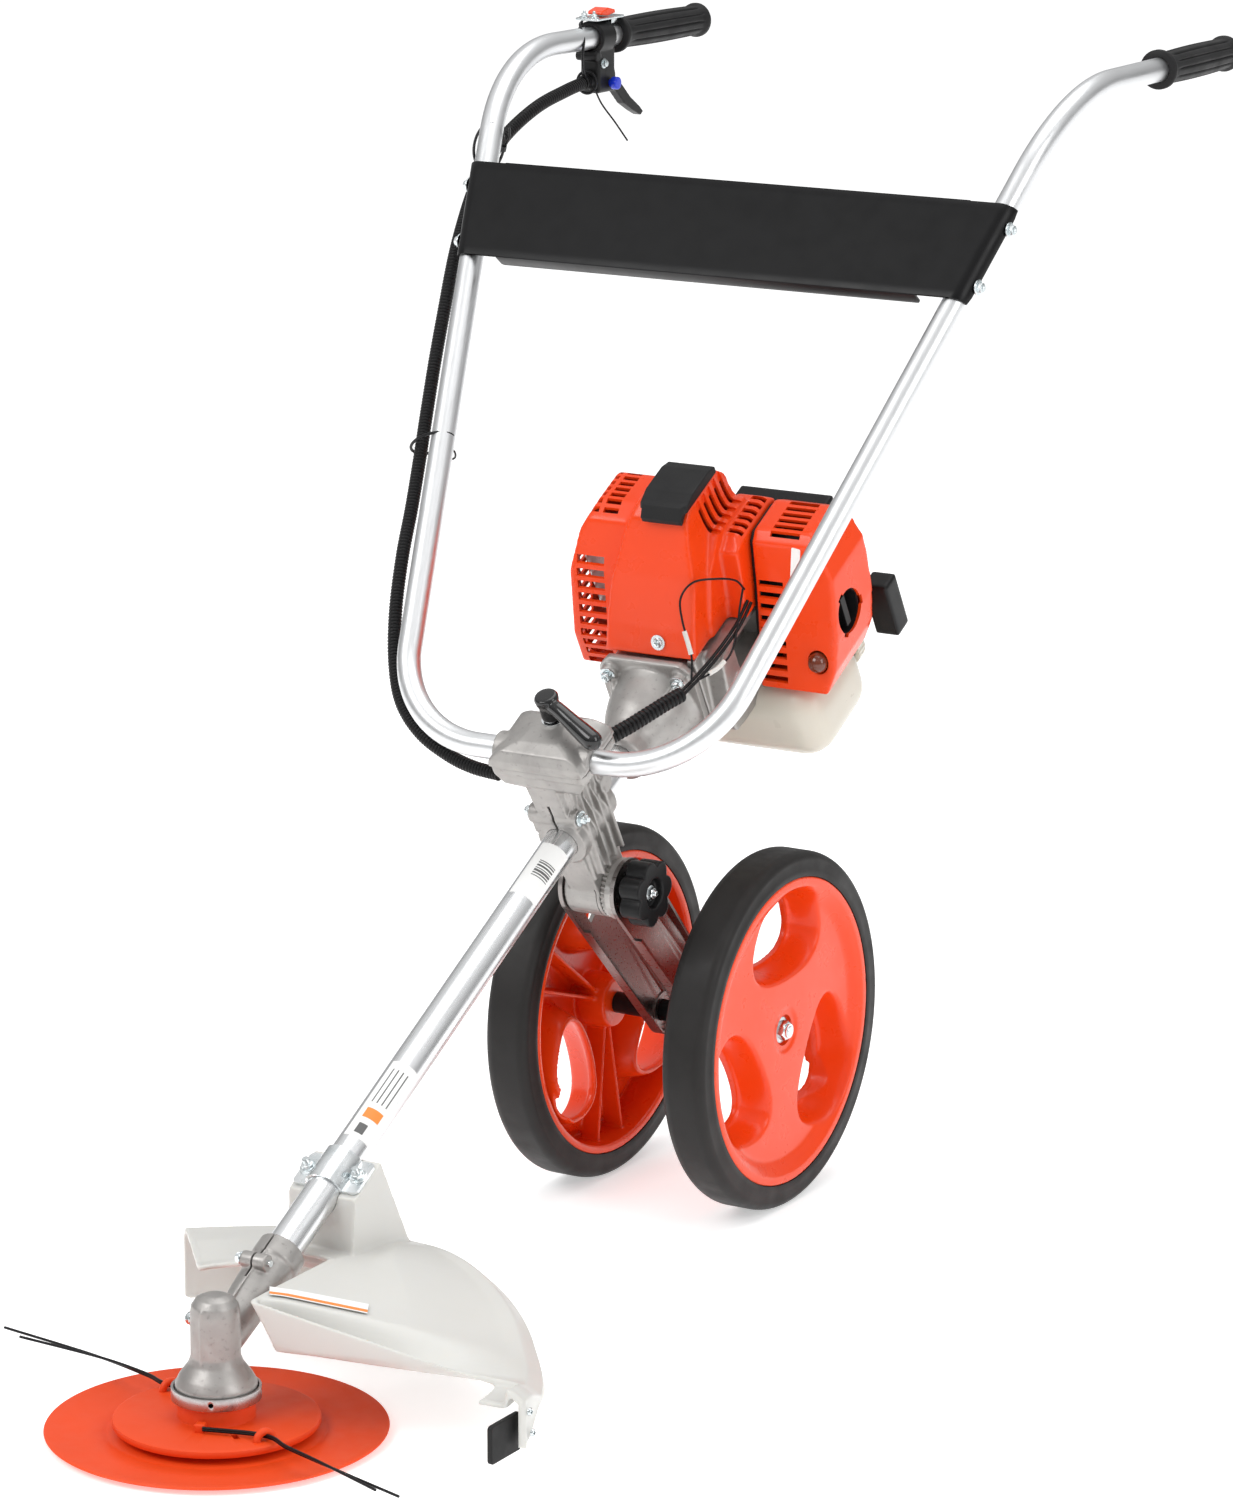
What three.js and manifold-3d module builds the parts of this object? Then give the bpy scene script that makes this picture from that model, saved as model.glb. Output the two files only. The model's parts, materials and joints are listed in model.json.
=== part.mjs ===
// Wheeled engine brush cutter, in millimetres, +Z up.
// The origin is on the ground, on the axis of the cutting disc. The machine runs along +Y: cutter
// head at the front, engine over the axle, grips at the back. +X is the machine's left side.
import * as THREE from 'three';
import { mergeVertices } from 'three/addons/utils/BufferGeometryUtils.js';
import Module from 'manifold-3d';

const wasm = await Module();
wasm.setup();

// ---------------------------------------------------------------- driving dimensions
const GAP = 0.3;
const PIPE_RADIUS = 14;
const PIPE_SLOPE = THREE.MathUtils.degToRad(29.4);
const HEAD_HEIGHT = 65.7;
const HEAD_TO_CLAMP = 564;
const WHEEL_RADIUS = 150;
const WHEEL_WIDTH = 39.6;
const RIM_RADIUS = 129;
const HALF_TRACK = 83.5;
const AXLE_Y = 683;
const AXLE_RADIUS = 6;
const SPACER_RADIUS = 9;
const BAR_RADIUS = 10;
const BAR_SLOPE = THREE.MathUtils.degToRad(53.6);
const BAR_FOOT = new THREE.Vector3(0, 461, 418.6);
const BAR_FOOT_HALF_WIDTH = 138.6;
const BAR_SPLAY = 0.2055;
const BAR_LEG = 623;
const GRIP_HALF_WIDTH = 258;
const GRIP_START_Y = 1003;
const GRIP_END_Y = 1146;
const GRIP_RADIUS = 13.5;
const DISC_RADIUS = 127.4;
const CUTTER_RADIUS = 77;
const LINE_RADIUS = 1.4;
const GUARD_RADIUS = 236;
const GUARD_WALL = 3;
const ARM_WALL = 3.7;
const PIVOT_U = 23.6;
const PIVOT_V = -71.4;
const FLANGE_U = 172;
const CYLINDER_U = 236;
const COVER_WALL = 2.5;

const PIPE_DIR = new THREE.Vector3(0, Math.cos(PIPE_SLOPE), Math.sin(PIPE_SLOPE));
const PIPE_NORMAL = new THREE.Vector3(0, -Math.sin(PIPE_SLOPE), Math.cos(PIPE_SLOPE));
const CLAMP_FRONT = new THREE.Vector3(0, 0, HEAD_HEIGHT).addScaledVector(PIPE_DIR, HEAD_TO_CLAMP);
const BAR_UP = new THREE.Vector3(0, Math.cos(BAR_SLOPE), Math.sin(BAR_SLOPE));

// ---------------------------------------------------------------- finishes
function finish(color, roughness, metalness = 0) {
  return new THREE.MeshStandardMaterial({ color, roughness, metalness });
}
const ORANGE = finish(0xff4f1e, 0.35);
const TYRE = finish(0x322d2d, 0.8);
const ALUMINIUM = finish(0xc9ccce, 0.35, 0.9);
const CAST = finish(0xaaa7a3, 0.55, 0.8);
const STEEL = finish(0x8f9294, 0.4, 0.95);
const ZINC = finish(0xb4bcc2, 0.35, 0.9);
const BLACK = finish(0x1b1b1d, 0.45);
const RUBBER = finish(0x18181a, 0.85);
const PANEL = finish(0x202022, 0.4, 0.2);
const GUARD_WHITE = finish(0xe4e4e0, 0.5);
const TANK_WHITE = finish(0xe0dcd2, 0.4);
const BLUE = finish(0x1a3cc0, 0.4);
const AMBER = finish(0x86401e, 0.3);

// ---------------------------------------------------------------- shape helpers
const AXES = {
  x: new THREE.Matrix4().makeBasis(
    new THREE.Vector3(0, 1, 0), new THREE.Vector3(1, 0, 0), new THREE.Vector3(0, 0, -1)),
  y: new THREE.Matrix4(),
  z: new THREE.Matrix4().makeBasis(
    new THREE.Vector3(1, 0, 0), new THREE.Vector3(0, 0, 1), new THREE.Vector3(0, -1, 0)),
};
const PLANES = {
  x: new THREE.Matrix4().makeBasis(
    new THREE.Vector3(0, 1, 0), new THREE.Vector3(0, 0, 1), new THREE.Vector3(1, 0, 0)),
  y: new THREE.Matrix4().makeBasis(
    new THREE.Vector3(1, 0, 0), new THREE.Vector3(0, 0, 1), new THREE.Vector3(0, -1, 0)),
  z: new THREE.Matrix4(),
};

// One closed, outward-facing surface with shared corners and no flat triangles.
function closed(geometry) {
  const bare = geometry.clone();
  bare.deleteAttribute('normal');
  bare.deleteAttribute('uv');
  const merged = mergeVertices(bare, 1e-4);
  const position = merged.attributes.position;
  const corners = [0, 1, 2].map(() => new THREE.Vector3());
  const kept = [];
  let volume = 0;
  for (let i = 0; i < merged.index.count; i += 3) {
    const ids = [0, 1, 2].map((k) => merged.index.getX(i + k));
    if (new Set(ids).size < 3) continue;
    ids.forEach((id, k) => corners[k].fromBufferAttribute(position, id));
    volume += corners[0].dot(corners[1].clone().cross(corners[2]));
    kept.push(ids);
  }
  const order = volume < 0 ? [0, 2, 1] : [0, 1, 2];
  merged.setIndex(kept.flatMap((ids) => order.map((k) => ids[k])));
  return merged;
}

function toSolid(geometry) {
  const bare = closed(geometry);
  return new wasm.Manifold(new wasm.Mesh({
    numProp: 3,
    vertProperties: new Float32Array(bare.attributes.position.array),
    triVerts: new Uint32Array(bare.index.array),
  }));
}

function toGeometry(solid) {
  const mesh = solid.getMesh();
  const geometry = new THREE.BufferGeometry();
  geometry.setAttribute('position', new THREE.BufferAttribute(mesh.vertProperties, 3));
  geometry.setIndex(new THREE.BufferAttribute(mesh.triVerts, 1));
  return geometry;
}

function join(first, ...others) {
  return toGeometry(others.reduce((sum, next) => sum.add(toSolid(next)), toSolid(first)));
}

function cut(first, ...tools) {
  return toGeometry(tools.reduce((rest, tool) => rest.subtract(toSolid(tool)), toSolid(first)));
}

function common(first, second) {
  return toGeometry(toSolid(first).intersect(toSolid(second)));
}

function block([x0, x1], [y0, y1], [z0, z1]) {
  const box = new THREE.BoxGeometry(x1 - x0, y1 - y0, z1 - z0);
  return box.translate((x0 + x1) / 2, (y0 + y1) / 2, (z0 + z1) / 2);
}

// A profile of [radius, height] points, turned about the named axis.
function turned(profile, axis, segments = 32) {
  const points = profile.map(([r, h]) => new THREE.Vector2(r, h));
  return new THREE.LatheGeometry(points, segments).applyMatrix4(AXES[axis]);
}

function disc(radius, from, to, axis, segments = 24) {
  return turned([[0, from], [radius, from], [radius, to], [0, to]], axis, segments);
}

function ring(inner, outer, from, to, axis, segments = 24) {
  return turned([[inner, from], [outer, from], [outer, to], [inner, to], [inner, from]], axis, segments);
}

function at(geometry, x, y, z) {
  return geometry.translate(x, y, z);
}

function outline(points) {
  return new THREE.Shape(points.map(([a, b]) => new THREE.Vector2(a, b)));
}

// A flat outline pushed from one place to another along the named axis. Across x the outline is
// (y, z), across z it is (x, y), and across y it is (x, z).
function slab(shape, axis, from, to) {
  const flat = Array.isArray(shape) ? outline(shape) : shape;
  const solid = new THREE.ExtrudeGeometry(flat, {
    depth: to - from, bevelEnabled: false, curveSegments: 10,
  });
  const start = axis === 'y' ? -to : from;
  return solid.translate(0, 0, start).applyMatrix4(PLANES[axis]);
}

// A curve that runs straight from knot to knot and is swept knot by knot.
class KnotCurve extends THREE.Curve {
  constructor(knots) {
    super();
    this.knots = knots;
  }
  getPoint(t) {
    const place = Math.min(Math.max(t, 0), 1) * (this.knots.length - 1);
    const i = Math.min(Math.floor(place), this.knots.length - 2);
    return this.knots[i].clone().lerp(this.knots[i + 1], place - i);
  }
  getPointAt(u) {
    return this.getPoint(u);
  }
  getTangentAt(u) {
    const i = Math.round(u * (this.knots.length - 1));
    const ahead = this.knots[Math.min(i + 1, this.knots.length - 1)];
    const here = this.knots[i];
    const behind = this.knots[Math.max(i - 1, 0)];
    const into = here.clone().sub(behind).normalize();
    return into.add(ahead.clone().sub(here).normalize()).normalize();
  }
  getSpacedPoints() {
    return this.knots.map((knot) => knot.clone());
  }
}

// Knots along straight runs joined by true arcs: corners are [point, radius] pairs.
function bentRoute(corners, arcSteps = 7) {
  const knots = [corners[0][0].clone()];
  for (let i = 1; i < corners.length - 1; i += 1) {
    const [corner, radius] = corners[i];
    const back = corners[i - 1][0].clone().sub(corner).normalize();
    const ahead = corners[i + 1][0].clone().sub(corner).normalize();
    const half = back.angleTo(ahead) / 2;
    const reach = radius / Math.tan(half);
    const centre = back.clone().add(ahead).normalize().multiplyScalar(radius / Math.sin(half)).add(corner);
    const start = back.clone().multiplyScalar(reach).add(corner).sub(centre);
    const end = ahead.clone().multiplyScalar(reach).add(corner).sub(centre);
    const sweep = start.angleTo(end);
    for (let k = 0; k <= arcSteps; k += 1) {
      const t = k / arcSteps;
      const point = start.clone().multiplyScalar(Math.sin((1 - t) * sweep) / Math.sin(sweep));
      point.addScaledVector(end, Math.sin(t * sweep) / Math.sin(sweep));
      knots.push(point.add(centre));
    }
  }
  knots.push(corners[corners.length - 1][0].clone());
  return knots;
}

function tube(knots, radius, sides) {
  const section = new THREE.Shape();
  for (let i = 0; i < sides; i += 1) {
    const angle = (i / sides) * 2 * Math.PI;
    const move = i === 0 ? 'moveTo' : 'lineTo';
    section[move](radius * Math.cos(angle), radius * Math.sin(angle));
  }
  section.closePath();
  return new THREE.ExtrudeGeometry(section, {
    steps: knots.length - 1, extrudePath: new KnotCurve(knots), bevelEnabled: false,
  });
}

// Evenly spaced knots along a smooth curve through chosen points.
function smoothRoute(points, steps) {
  const curve = new THREE.CatmullRomCurve3(points.map((p) => new THREE.Vector3(...p)), false, 'centripetal');
  return curve.getSpacedPoints(steps);
}

// A straight bar between two points, with its own radius at each end.
function bar(start, end, startRadius, endRadius, sides = 16) {
  const from = new THREE.Vector3(...start);
  const to = new THREE.Vector3(...end);
  const length = from.distanceTo(to);
  const cone = new THREE.CylinderGeometry(endRadius, startRadius, length, sides);
  const turn = new THREE.Quaternion().setFromUnitVectors(
    new THREE.Vector3(0, 1, 0), to.clone().sub(from).normalize());
  cone.applyQuaternion(turn);
  const middle = from.add(to).multiplyScalar(0.5);
  return cone.translate(middle.x, middle.y, middle.z);
}

// A convex outline moved inwards by one wall on every side.
function inset(points, wall) {
  const moved = points.map((point, i) => {
    const next = points[(i + 1) % points.length];
    const along = new THREE.Vector2(next[0] - point[0], next[1] - point[1]).normalize();
    return { x: point[0] - along.y * wall, y: point[1] + along.x * wall, dx: along.x, dy: along.y };
  });
  return moved.map((line, i) => {
    const last = moved[(i + moved.length - 1) % moved.length];
    const cross = last.dx * line.dy - last.dy * line.dx;
    const t = ((line.x - last.x) * line.dy - (line.y - last.y) * line.dx) / cross;
    return [last.x + last.dx * t, last.y + last.dy * t];
  });
}

function hexagon(radius) {
  return Array.from({ length: 6 }, (_, i) => {
    const angle = (i / 6) * 2 * Math.PI;
    return [radius * Math.cos(angle), radius * Math.sin(angle)];
  });
}

// ---------------------------------------------------------------- scene graph
const machine = new THREE.Group();
const shaftLine = new THREE.Group();   // local Y runs up the pipe, local Z is square to it
shaftLine.position.copy(CLAMP_FRONT);
shaftLine.rotation.x = PIPE_SLOPE;
const barPlane = new THREE.Group();    // local Y runs up the handlebar's legs
barPlane.position.copy(BAR_FOOT);
barPlane.rotation.x = BAR_SLOPE;
const pivot = CLAMP_FRONT.clone().addScaledVector(PIPE_DIR, PIVOT_U).addScaledVector(PIPE_NORMAL, PIVOT_V);
const axle = new THREE.Vector3(0, AXLE_Y, WHEEL_RADIUS);
const ARM_LENGTH = pivot.distanceTo(axle);
const swingArm = new THREE.Group();    // local Y runs from the pivot to the axle
swingArm.position.copy(pivot);
swingArm.rotation.x = Math.atan2(axle.z - pivot.z, axle.y - pivot.y);
machine.add(shaftLine, barPlane, swingArm);

function add(parent, name, geometry, material) {
  const mesh = new THREE.Mesh(closed(geometry), material);
  mesh.name = name;
  parent.add(mesh);
  return mesh;
}

// ---------------------------------------------------------------- pipe and drive shaft
const PIPE_BORE = 12.4;
const PIPE_LOW = -505;
const PIPE_HIGH = 118;
const SHAFT_RADIUS = 4;
const SHAFT_LOW = -543.7;
const SHAFT_HIGH = 139;

function addPipe() {
  add(shaftLine, 'main_pipe', ring(PIPE_BORE, PIPE_RADIUS, PIPE_LOW, PIPE_HIGH, 'y', 28), ALUMINIUM);
  add(shaftLine, 'drive_shaft', disc(SHAFT_RADIUS, SHAFT_LOW, SHAFT_HIGH, 'y', 12), STEEL);
}

// ---------------------------------------------------------------- cutter head
const CASE_RADIUS = 18.5;
const CASE_FOOT_RADIUS = 30.5;
const CASE_FOOT_Z = 33;
const CASE_TOP_Z = 108;
const CASE_BORE = 14.3;
const NECK_RADIUS = 17.6;
const NECK_END = -463;

// Turns a geometry made along local Y into the pipe's direction, through the head's centre.
function alongPipe(geometry) {
  return geometry.rotateX(PIPE_SLOPE).translate(0, 0, HEAD_HEIGHT);
}

function addGearCase() {
  const column = turned([
    [0, CASE_FOOT_Z], [CASE_FOOT_RADIUS, CASE_FOOT_Z], [CASE_FOOT_RADIUS, 40], [28, 45.5],
    [20.5, 55], [CASE_RADIUS, 61], [CASE_RADIUS, 98], [16, 104], [10, 107.2], [0, CASE_TOP_Z],
  ], 'z', 24);
  const neckLength = NECK_END + HEAD_TO_CLAMP;
  const neck = alongPipe(turned([
    [0, 0], [15, 0], [NECK_RADIUS - 1.5, 40], [NECK_RADIUS, 62], [NECK_RADIUS, 84],
    [NECK_RADIUS + 1.4, 86], [NECK_RADIUS + 1.4, neckLength], [0, neckLength],
  ], 'y', 24));
  const bolt = disc(5, -27, -14, 'x', 12).translate(0, 22, 84);
  const cavity = turned([
    [0, CASE_FOOT_Z + 4], [CASE_BORE, CASE_FOOT_Z + 4], [CASE_BORE, 92], [0, 99],
  ], 'z', 24);
  const shaftHole = disc(8, CASE_FOOT_Z - 1, CASE_FOOT_Z + 5, 'z', 20);
  const pinionHole = alongPipe(disc(11, 0, 60, 'y', 20));
  const pipeHole = alongPipe(disc(PIPE_RADIUS + GAP, 58, neckLength + 1, 'y', 28));
  const skin = join(column, neck, bolt);
  add(machine, 'gear_case', cut(skin, cavity, shaftHole, pinionHole, pipeHole), CAST);
}

const PINION_TEETH = 14;
const GEAR_TEETH = 19;
const SHAFT_ANGLE = Math.PI / 2 + PIPE_SLOPE;
const TOOTH_RATIO = PINION_TEETH / GEAR_TEETH;
const PINION_CONE = Math.atan2(TOOTH_RATIO * Math.sin(SHAFT_ANGLE), 1 + TOOTH_RATIO * Math.cos(SHAFT_ANGLE));
const GEAR_CONE = SHAFT_ANGLE - PINION_CONE;
const CONE_INNER = 8.8;
const CONE_OUTER = 13.4;
const TOOTH_HEIGHT = 0.8;

// A bevel gear on local Y, its cone's tip at the origin and its back at the given height. Even
// corners of the cone stand out as teeth and odd ones sink between them.
function bevelGear(teeth, cone, hubRadius, back) {
  const rim = CONE_OUTER * Math.sin(cone);
  const face = CONE_OUTER * Math.cos(cone);
  const gear = turned([
    [0, CONE_INNER * Math.cos(cone)], [CONE_INNER * Math.sin(cone), CONE_INNER * Math.cos(cone)],
    [rim, face], [rim - 1, face + 3], [hubRadius, face + 3], [hubRadius, back], [0, back],
  ], 'y', teeth * 2);
  const position = gear.attributes.position;
  for (let i = 0; i < position.count; i += 1) {
    const x = position.getX(i);
    const y = position.getY(i);
    const z = position.getZ(i);
    const radius = Math.hypot(x, z);
    if (radius < hubRadius + 0.1 || y > face + 0.1) continue;
    const corner = Math.round(Math.atan2(x, z) / (Math.PI / teeth));
    const lift = (corner % 2 === 0 ? TOOTH_HEIGHT : -TOOTH_HEIGHT) - 0.2;
    const scale = 1 + (lift * Math.cos(cone)) / radius;
    position.setXYZ(i, x * scale, y - lift * Math.sin(cone), z * scale);
  }
  return gear;
}

function addHeadGears() {
  const pinion = bevelGear(PINION_TEETH, PINION_CONE, 5.5, SHAFT_LOW + HEAD_TO_CLAMP - GAP);
  add(machine, 'pinion', alongPipe(pinion), STEEL);
  const gear = bevelGear(GEAR_TEETH, GEAR_CONE, 7, 16).rotateX(-Math.PI / 2);
  const wheel = gear.rotateZ(Math.PI).translate(0, 0, HEAD_HEIGHT);
  const shaft = disc(5, 15.4, 55, 'z', 16);
  add(machine, 'output_shaft', join(wheel, shaft), STEEL);
  add(machine, 'output_bearing', ring(5.4, 13.9, CASE_FOOT_Z + 4.3, 46, 'z', 24), STEEL);
}

const COLLAR_RADIUS = 33.5;
const HUB_RADIUS = 29;
const HUB_TOP_Z = 28;
const CUTTER_TOP_Z = 14.3;
const CUTTER_BOTTOM_Z = 8.2;
const EYELET_ANGLE = THREE.MathUtils.degToRad(-23);
const EYELET_RADIUS = 65;
const LINE_Z = CUTTER_TOP_Z + 3.4;
const LINE_OFFSET = 34;

function addCollar() {
  const floor = HUB_TOP_Z + GAP;
  const cup = turned([
    [5.4, floor], [COLLAR_RADIUS, floor], [COLLAR_RADIUS, floor + 9.2], [COLLAR_RADIUS - 1.8, floor + 9.2],
    [COLLAR_RADIUS - 1.8, floor + 2.4], [5.4, floor + 2.4], [5.4, floor],
  ], 'z', 24);
  add(machine, 'collar_ring', cup, STEEL);
}

// A low bridge that a cutting line passes under, on the cutter's rim.
function eyelet(angle) {
  const arch = cut(
    disc(9, -6, 6, 'x', 16),
    disc(3.2, -7, 7, 'x', 12).translate(0, 0, 3.4),
    block([-7, 7], [-10, 10], [-10, -0.2]));
  return arch.translate(EYELET_RADIUS, 0, CUTTER_TOP_Z).rotateZ(angle);
}

function addCutter() {
  const plate = turned([
    [0, CUTTER_BOTTOM_Z], [CUTTER_RADIUS - 2, CUTTER_BOTTOM_Z], [CUTTER_RADIUS, CUTTER_BOTTOM_Z + 2],
    [CUTTER_RADIUS, CUTTER_TOP_Z - 2], [CUTTER_RADIUS - 3, CUTTER_TOP_Z], [HUB_RADIUS, CUTTER_TOP_Z],
    [HUB_RADIUS, HUB_TOP_Z], [0, HUB_TOP_Z],
  ], 'z', 40);
  const bore = disc(5.4, 15, HUB_TOP_Z + 1, 'z', 16);
  const posts = [EYELET_ANGLE, EYELET_ANGLE + Math.PI].map(eyelet);
  add(machine, 'cutter_disc', cut(join(plate, ...posts), bore), ORANGE);
}

function addSkidDisc() {
  const dish = turned([
    [0, 0], [100, 0], [120, 1.6], [DISC_RADIUS - 1, 4], [DISC_RADIUS, 5.2], [DISC_RADIUS - 1.2, 6.4],
    [118, 4.6], [98, 3.2], [30, 3.2], [30, CUTTER_BOTTOM_Z - 0.5], [0, CUTTER_BOTTOM_Z - 0.5],
  ], 'z', 40);
  add(machine, 'skid_disc', dish, ORANGE);
}

// One nylon line on each side. It comes back on itself, so two ends leave its eyelet together and
// drift apart. Each end is [outward, sideways, rise].
const LINE_ENDS = {
  left: [[228, 8, 3], [206, 3, 2]],
  right: [[238, 42, 4], [213, 43, 4]],
};

function addLines() {
  Object.entries(LINE_ENDS).forEach(([side, ends]) => {
    const strands = ends.map(([out, aside, rise]) => tube(smoothRoute([
      [HUB_RADIUS + 6, 0, LINE_Z], [EYELET_RADIUS, 0, LINE_Z], [EYELET_RADIUS + 30, aside * 0.06, LINE_Z],
      [(EYELET_RADIUS + out) / 2, aside * 0.35, LINE_Z + rise / 2], [out, aside, LINE_Z + rise],
    ], 8), LINE_RADIUS, 6));
    const turn = side === 'left' ? EYELET_ANGLE : EYELET_ANGLE + Math.PI;
    add(machine, `cutting_line_${side}`, join(...strands).rotateZ(turn), BLACK);
  });
}

// ---------------------------------------------------------------- guard
const SLOT_HALF_WIDTH = 25;
const SLOT_REACH = 117;
const CLAMP_U = -382;
const CLAMP_LENGTH = 32;
const TOWER_HALF_WIDTH = 30;
const GUARD_STEPS = [
  5.2, 9, 13, 16, 18, 22, 28, 34, 40, 50, 60, 68, 75, 81, 87, 93, 100, 110, 120, 131,
];

function ease(t, low, high) {
  const s = Math.min(Math.max((t - low) / (high - low), 0), 1);
  return s * s * (3 - 2 * s);
}

// The guard's upper surface at one angle round the cutter, from its inner edge to its skirt, as
// [radius, height] stations. It is a narrow arm at first, then a hood that is low at its front
// edge and rises to a plateau beside the pipe, and last a wing on the other side of the pipe.
function guardStations(degrees) {
  const mix = THREE.MathUtils.lerp;
  const angle = THREE.MathUtils.degToRad(degrees);
  const slot = Math.min(SLOT_REACH, SLOT_HALF_WIDTH / Math.max(Math.abs(Math.cos(angle)), 1e-3));
  const body = ease(degrees, 14, 18);
  const front = 1 - ease(degrees, 20, 40);
  const wing = ease(degrees, 96, 128);
  const inner = mix(216, slot + 2 + 76 * wing, body);
  const outer = GUARD_RADIUS + 15 * (1 - ease(degrees, 6, 40)) - 2 * wing;
  const near = mix(inner + 6, Math.min(inner + 18, outer - 30), body);
  const ridge = mix(60, 88, ease(degrees, 24, 78)) + 12 * (1 - ease(degrees, 8, 18)) - 3 * wing;
  const plateau = mix(60, 105, body) - 16 * wing;
  const skirt = mix(mix(29, 50, ease(degrees, 5, 14)), 44, ease(degrees, 14, 34)) - 18 * wing;
  const middle = (near + outer) / 2;
  return [
    [inner, plateau],
    [near, mix(mix(60, 103, body), 64, front * body) - 17 * wing],
    [middle, mix(mix(60, (105 + ridge) / 2, body), 61, front * body) - 8 * wing],
    [outer - 12, ridge],
    [outer, ridge - 8],
    [outer, skirt],
  ];
}

// A shell under the stations: each ring of corners is the upper line, then the same line lower.
function guardShell() {
  const rings = GUARD_STEPS.map((degrees) => {
    const angle = THREE.MathUtils.degToRad(degrees);
    const top = guardStations(degrees);
    const last = top.length - 1;
    const under = top.map(([r, z], i) => [r - (i >= last - 1 ? GUARD_WALL : 0), z - (i < last ? GUARD_WALL : 0)]);
    const section = [...top, ...under.reverse()];
    return section.map(([r, z]) => [r * Math.cos(angle), r * Math.sin(angle), z]);
  });
  const count = rings[0].length;
  const index = [];
  for (let i = 0; i < rings.length - 1; i += 1) {
    for (let k = 0; k < count; k += 1) {
      const a = i * count + k;
      const b = i * count + ((k + 1) % count);
      index.push(a, b, b + count, a, b + count, a + count);
    }
  }
  const end = (rings.length - 1) * count;
  for (let k = 0; k < count / 2 - 1; k += 1) {
    const far = count - 1 - k;
    index.push(k + 1, k, far, k + 1, far, far - 1);
    index.push(end + k, end + k + 1, end + far, end + k + 1, end + far - 1, end + far);
  }
  const shell = new THREE.BufferGeometry();
  shell.setAttribute('position', new THREE.Float32BufferAttribute(rings.flat(2), 3));
  shell.setIndex(index);
  return shell;
}

// A point beside the pipe, seen from the left: so far along it and so far above its centre.
function besidePipe(u, v) {
  const point = CLAMP_FRONT.clone().addScaledVector(PIPE_DIR, u).addScaledVector(PIPE_NORMAL, v);
  return [point.y, point.z];
}

function addGuard() {
  const front = CLAMP_U - 20;
  const back = CLAMP_U + 21;
  const tower = slab([
    besidePipe(front, -0.5), [138, 106], [136, 86], [212, 76], [217, 90], besidePipe(back, -0.5),
  ], 'x', -TOWER_HALF_WIDTH, TOWER_HALF_WIDTH);
  const hollow = slab([
    besidePipe(front + 4, -18.5), [142, 60], [211, 60], [212, 90], besidePipe(back - 5, -18.5),
  ], 'x', 4 - TOWER_HALF_WIDTH, TOWER_HALF_WIDTH - 4);
  const trough = alongPipe(disc(PIPE_RADIUS + GAP, 60, 400, 'y', 28));
  add(machine, 'guard', cut(join(guardShell(), tower), hollow, trough), GUARD_WHITE);
}

// The flat steel saddle that holds the guard's tower to the pipe, with its two screws.
function addGuardClamp() {
  const inner = PIPE_RADIUS + GAP;
  const [low, high] = [CLAMP_U - CLAMP_LENGTH / 2, CLAMP_U + CLAMP_LENGTH / 2];
  const arch = cut(ring(inner, inner + 2.2, low, high, 'y', 28), block([-40, 40], [low - 1, high + 1], [-30, 0.2]));
  const ears = cut(
    block([-29, 29], [low, high], [0.2, 2.4]), disc(inner, low - 1, high + 1, 'y', 28));
  const screws = [-23, 23].flatMap((x) => [
    at(slab(hexagon(5.4), 'z', 2, 6.4), x, CLAMP_U, 0),
    at(disc(2.6, 6, 11, 'z', 10), x, CLAMP_U, 0),
  ]);
  add(shaftLine, 'guard_clamp', join(arch, ears, ...screws), ZINC);
}

function addGuardFlap() {
  add(machine, 'guard_flap', block([238.2, 242.4], [-5, 35], [24, 53]), RUBBER);
}

// ---------------------------------------------------------------- bracket
const BASE_HALF_WIDTH = 42;
const BAR_U = 10.8;
const BAR_V = 81.1;
const STUD_U = 31;
const CLAMP_SHIFT = 4;
const BARREL_RADIUS = 24;
const ARM_PIVOT_RADIUS = 26;
const BARREL_LEFT = -19.6;
const BARREL_RIGHT = 13.6;

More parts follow.
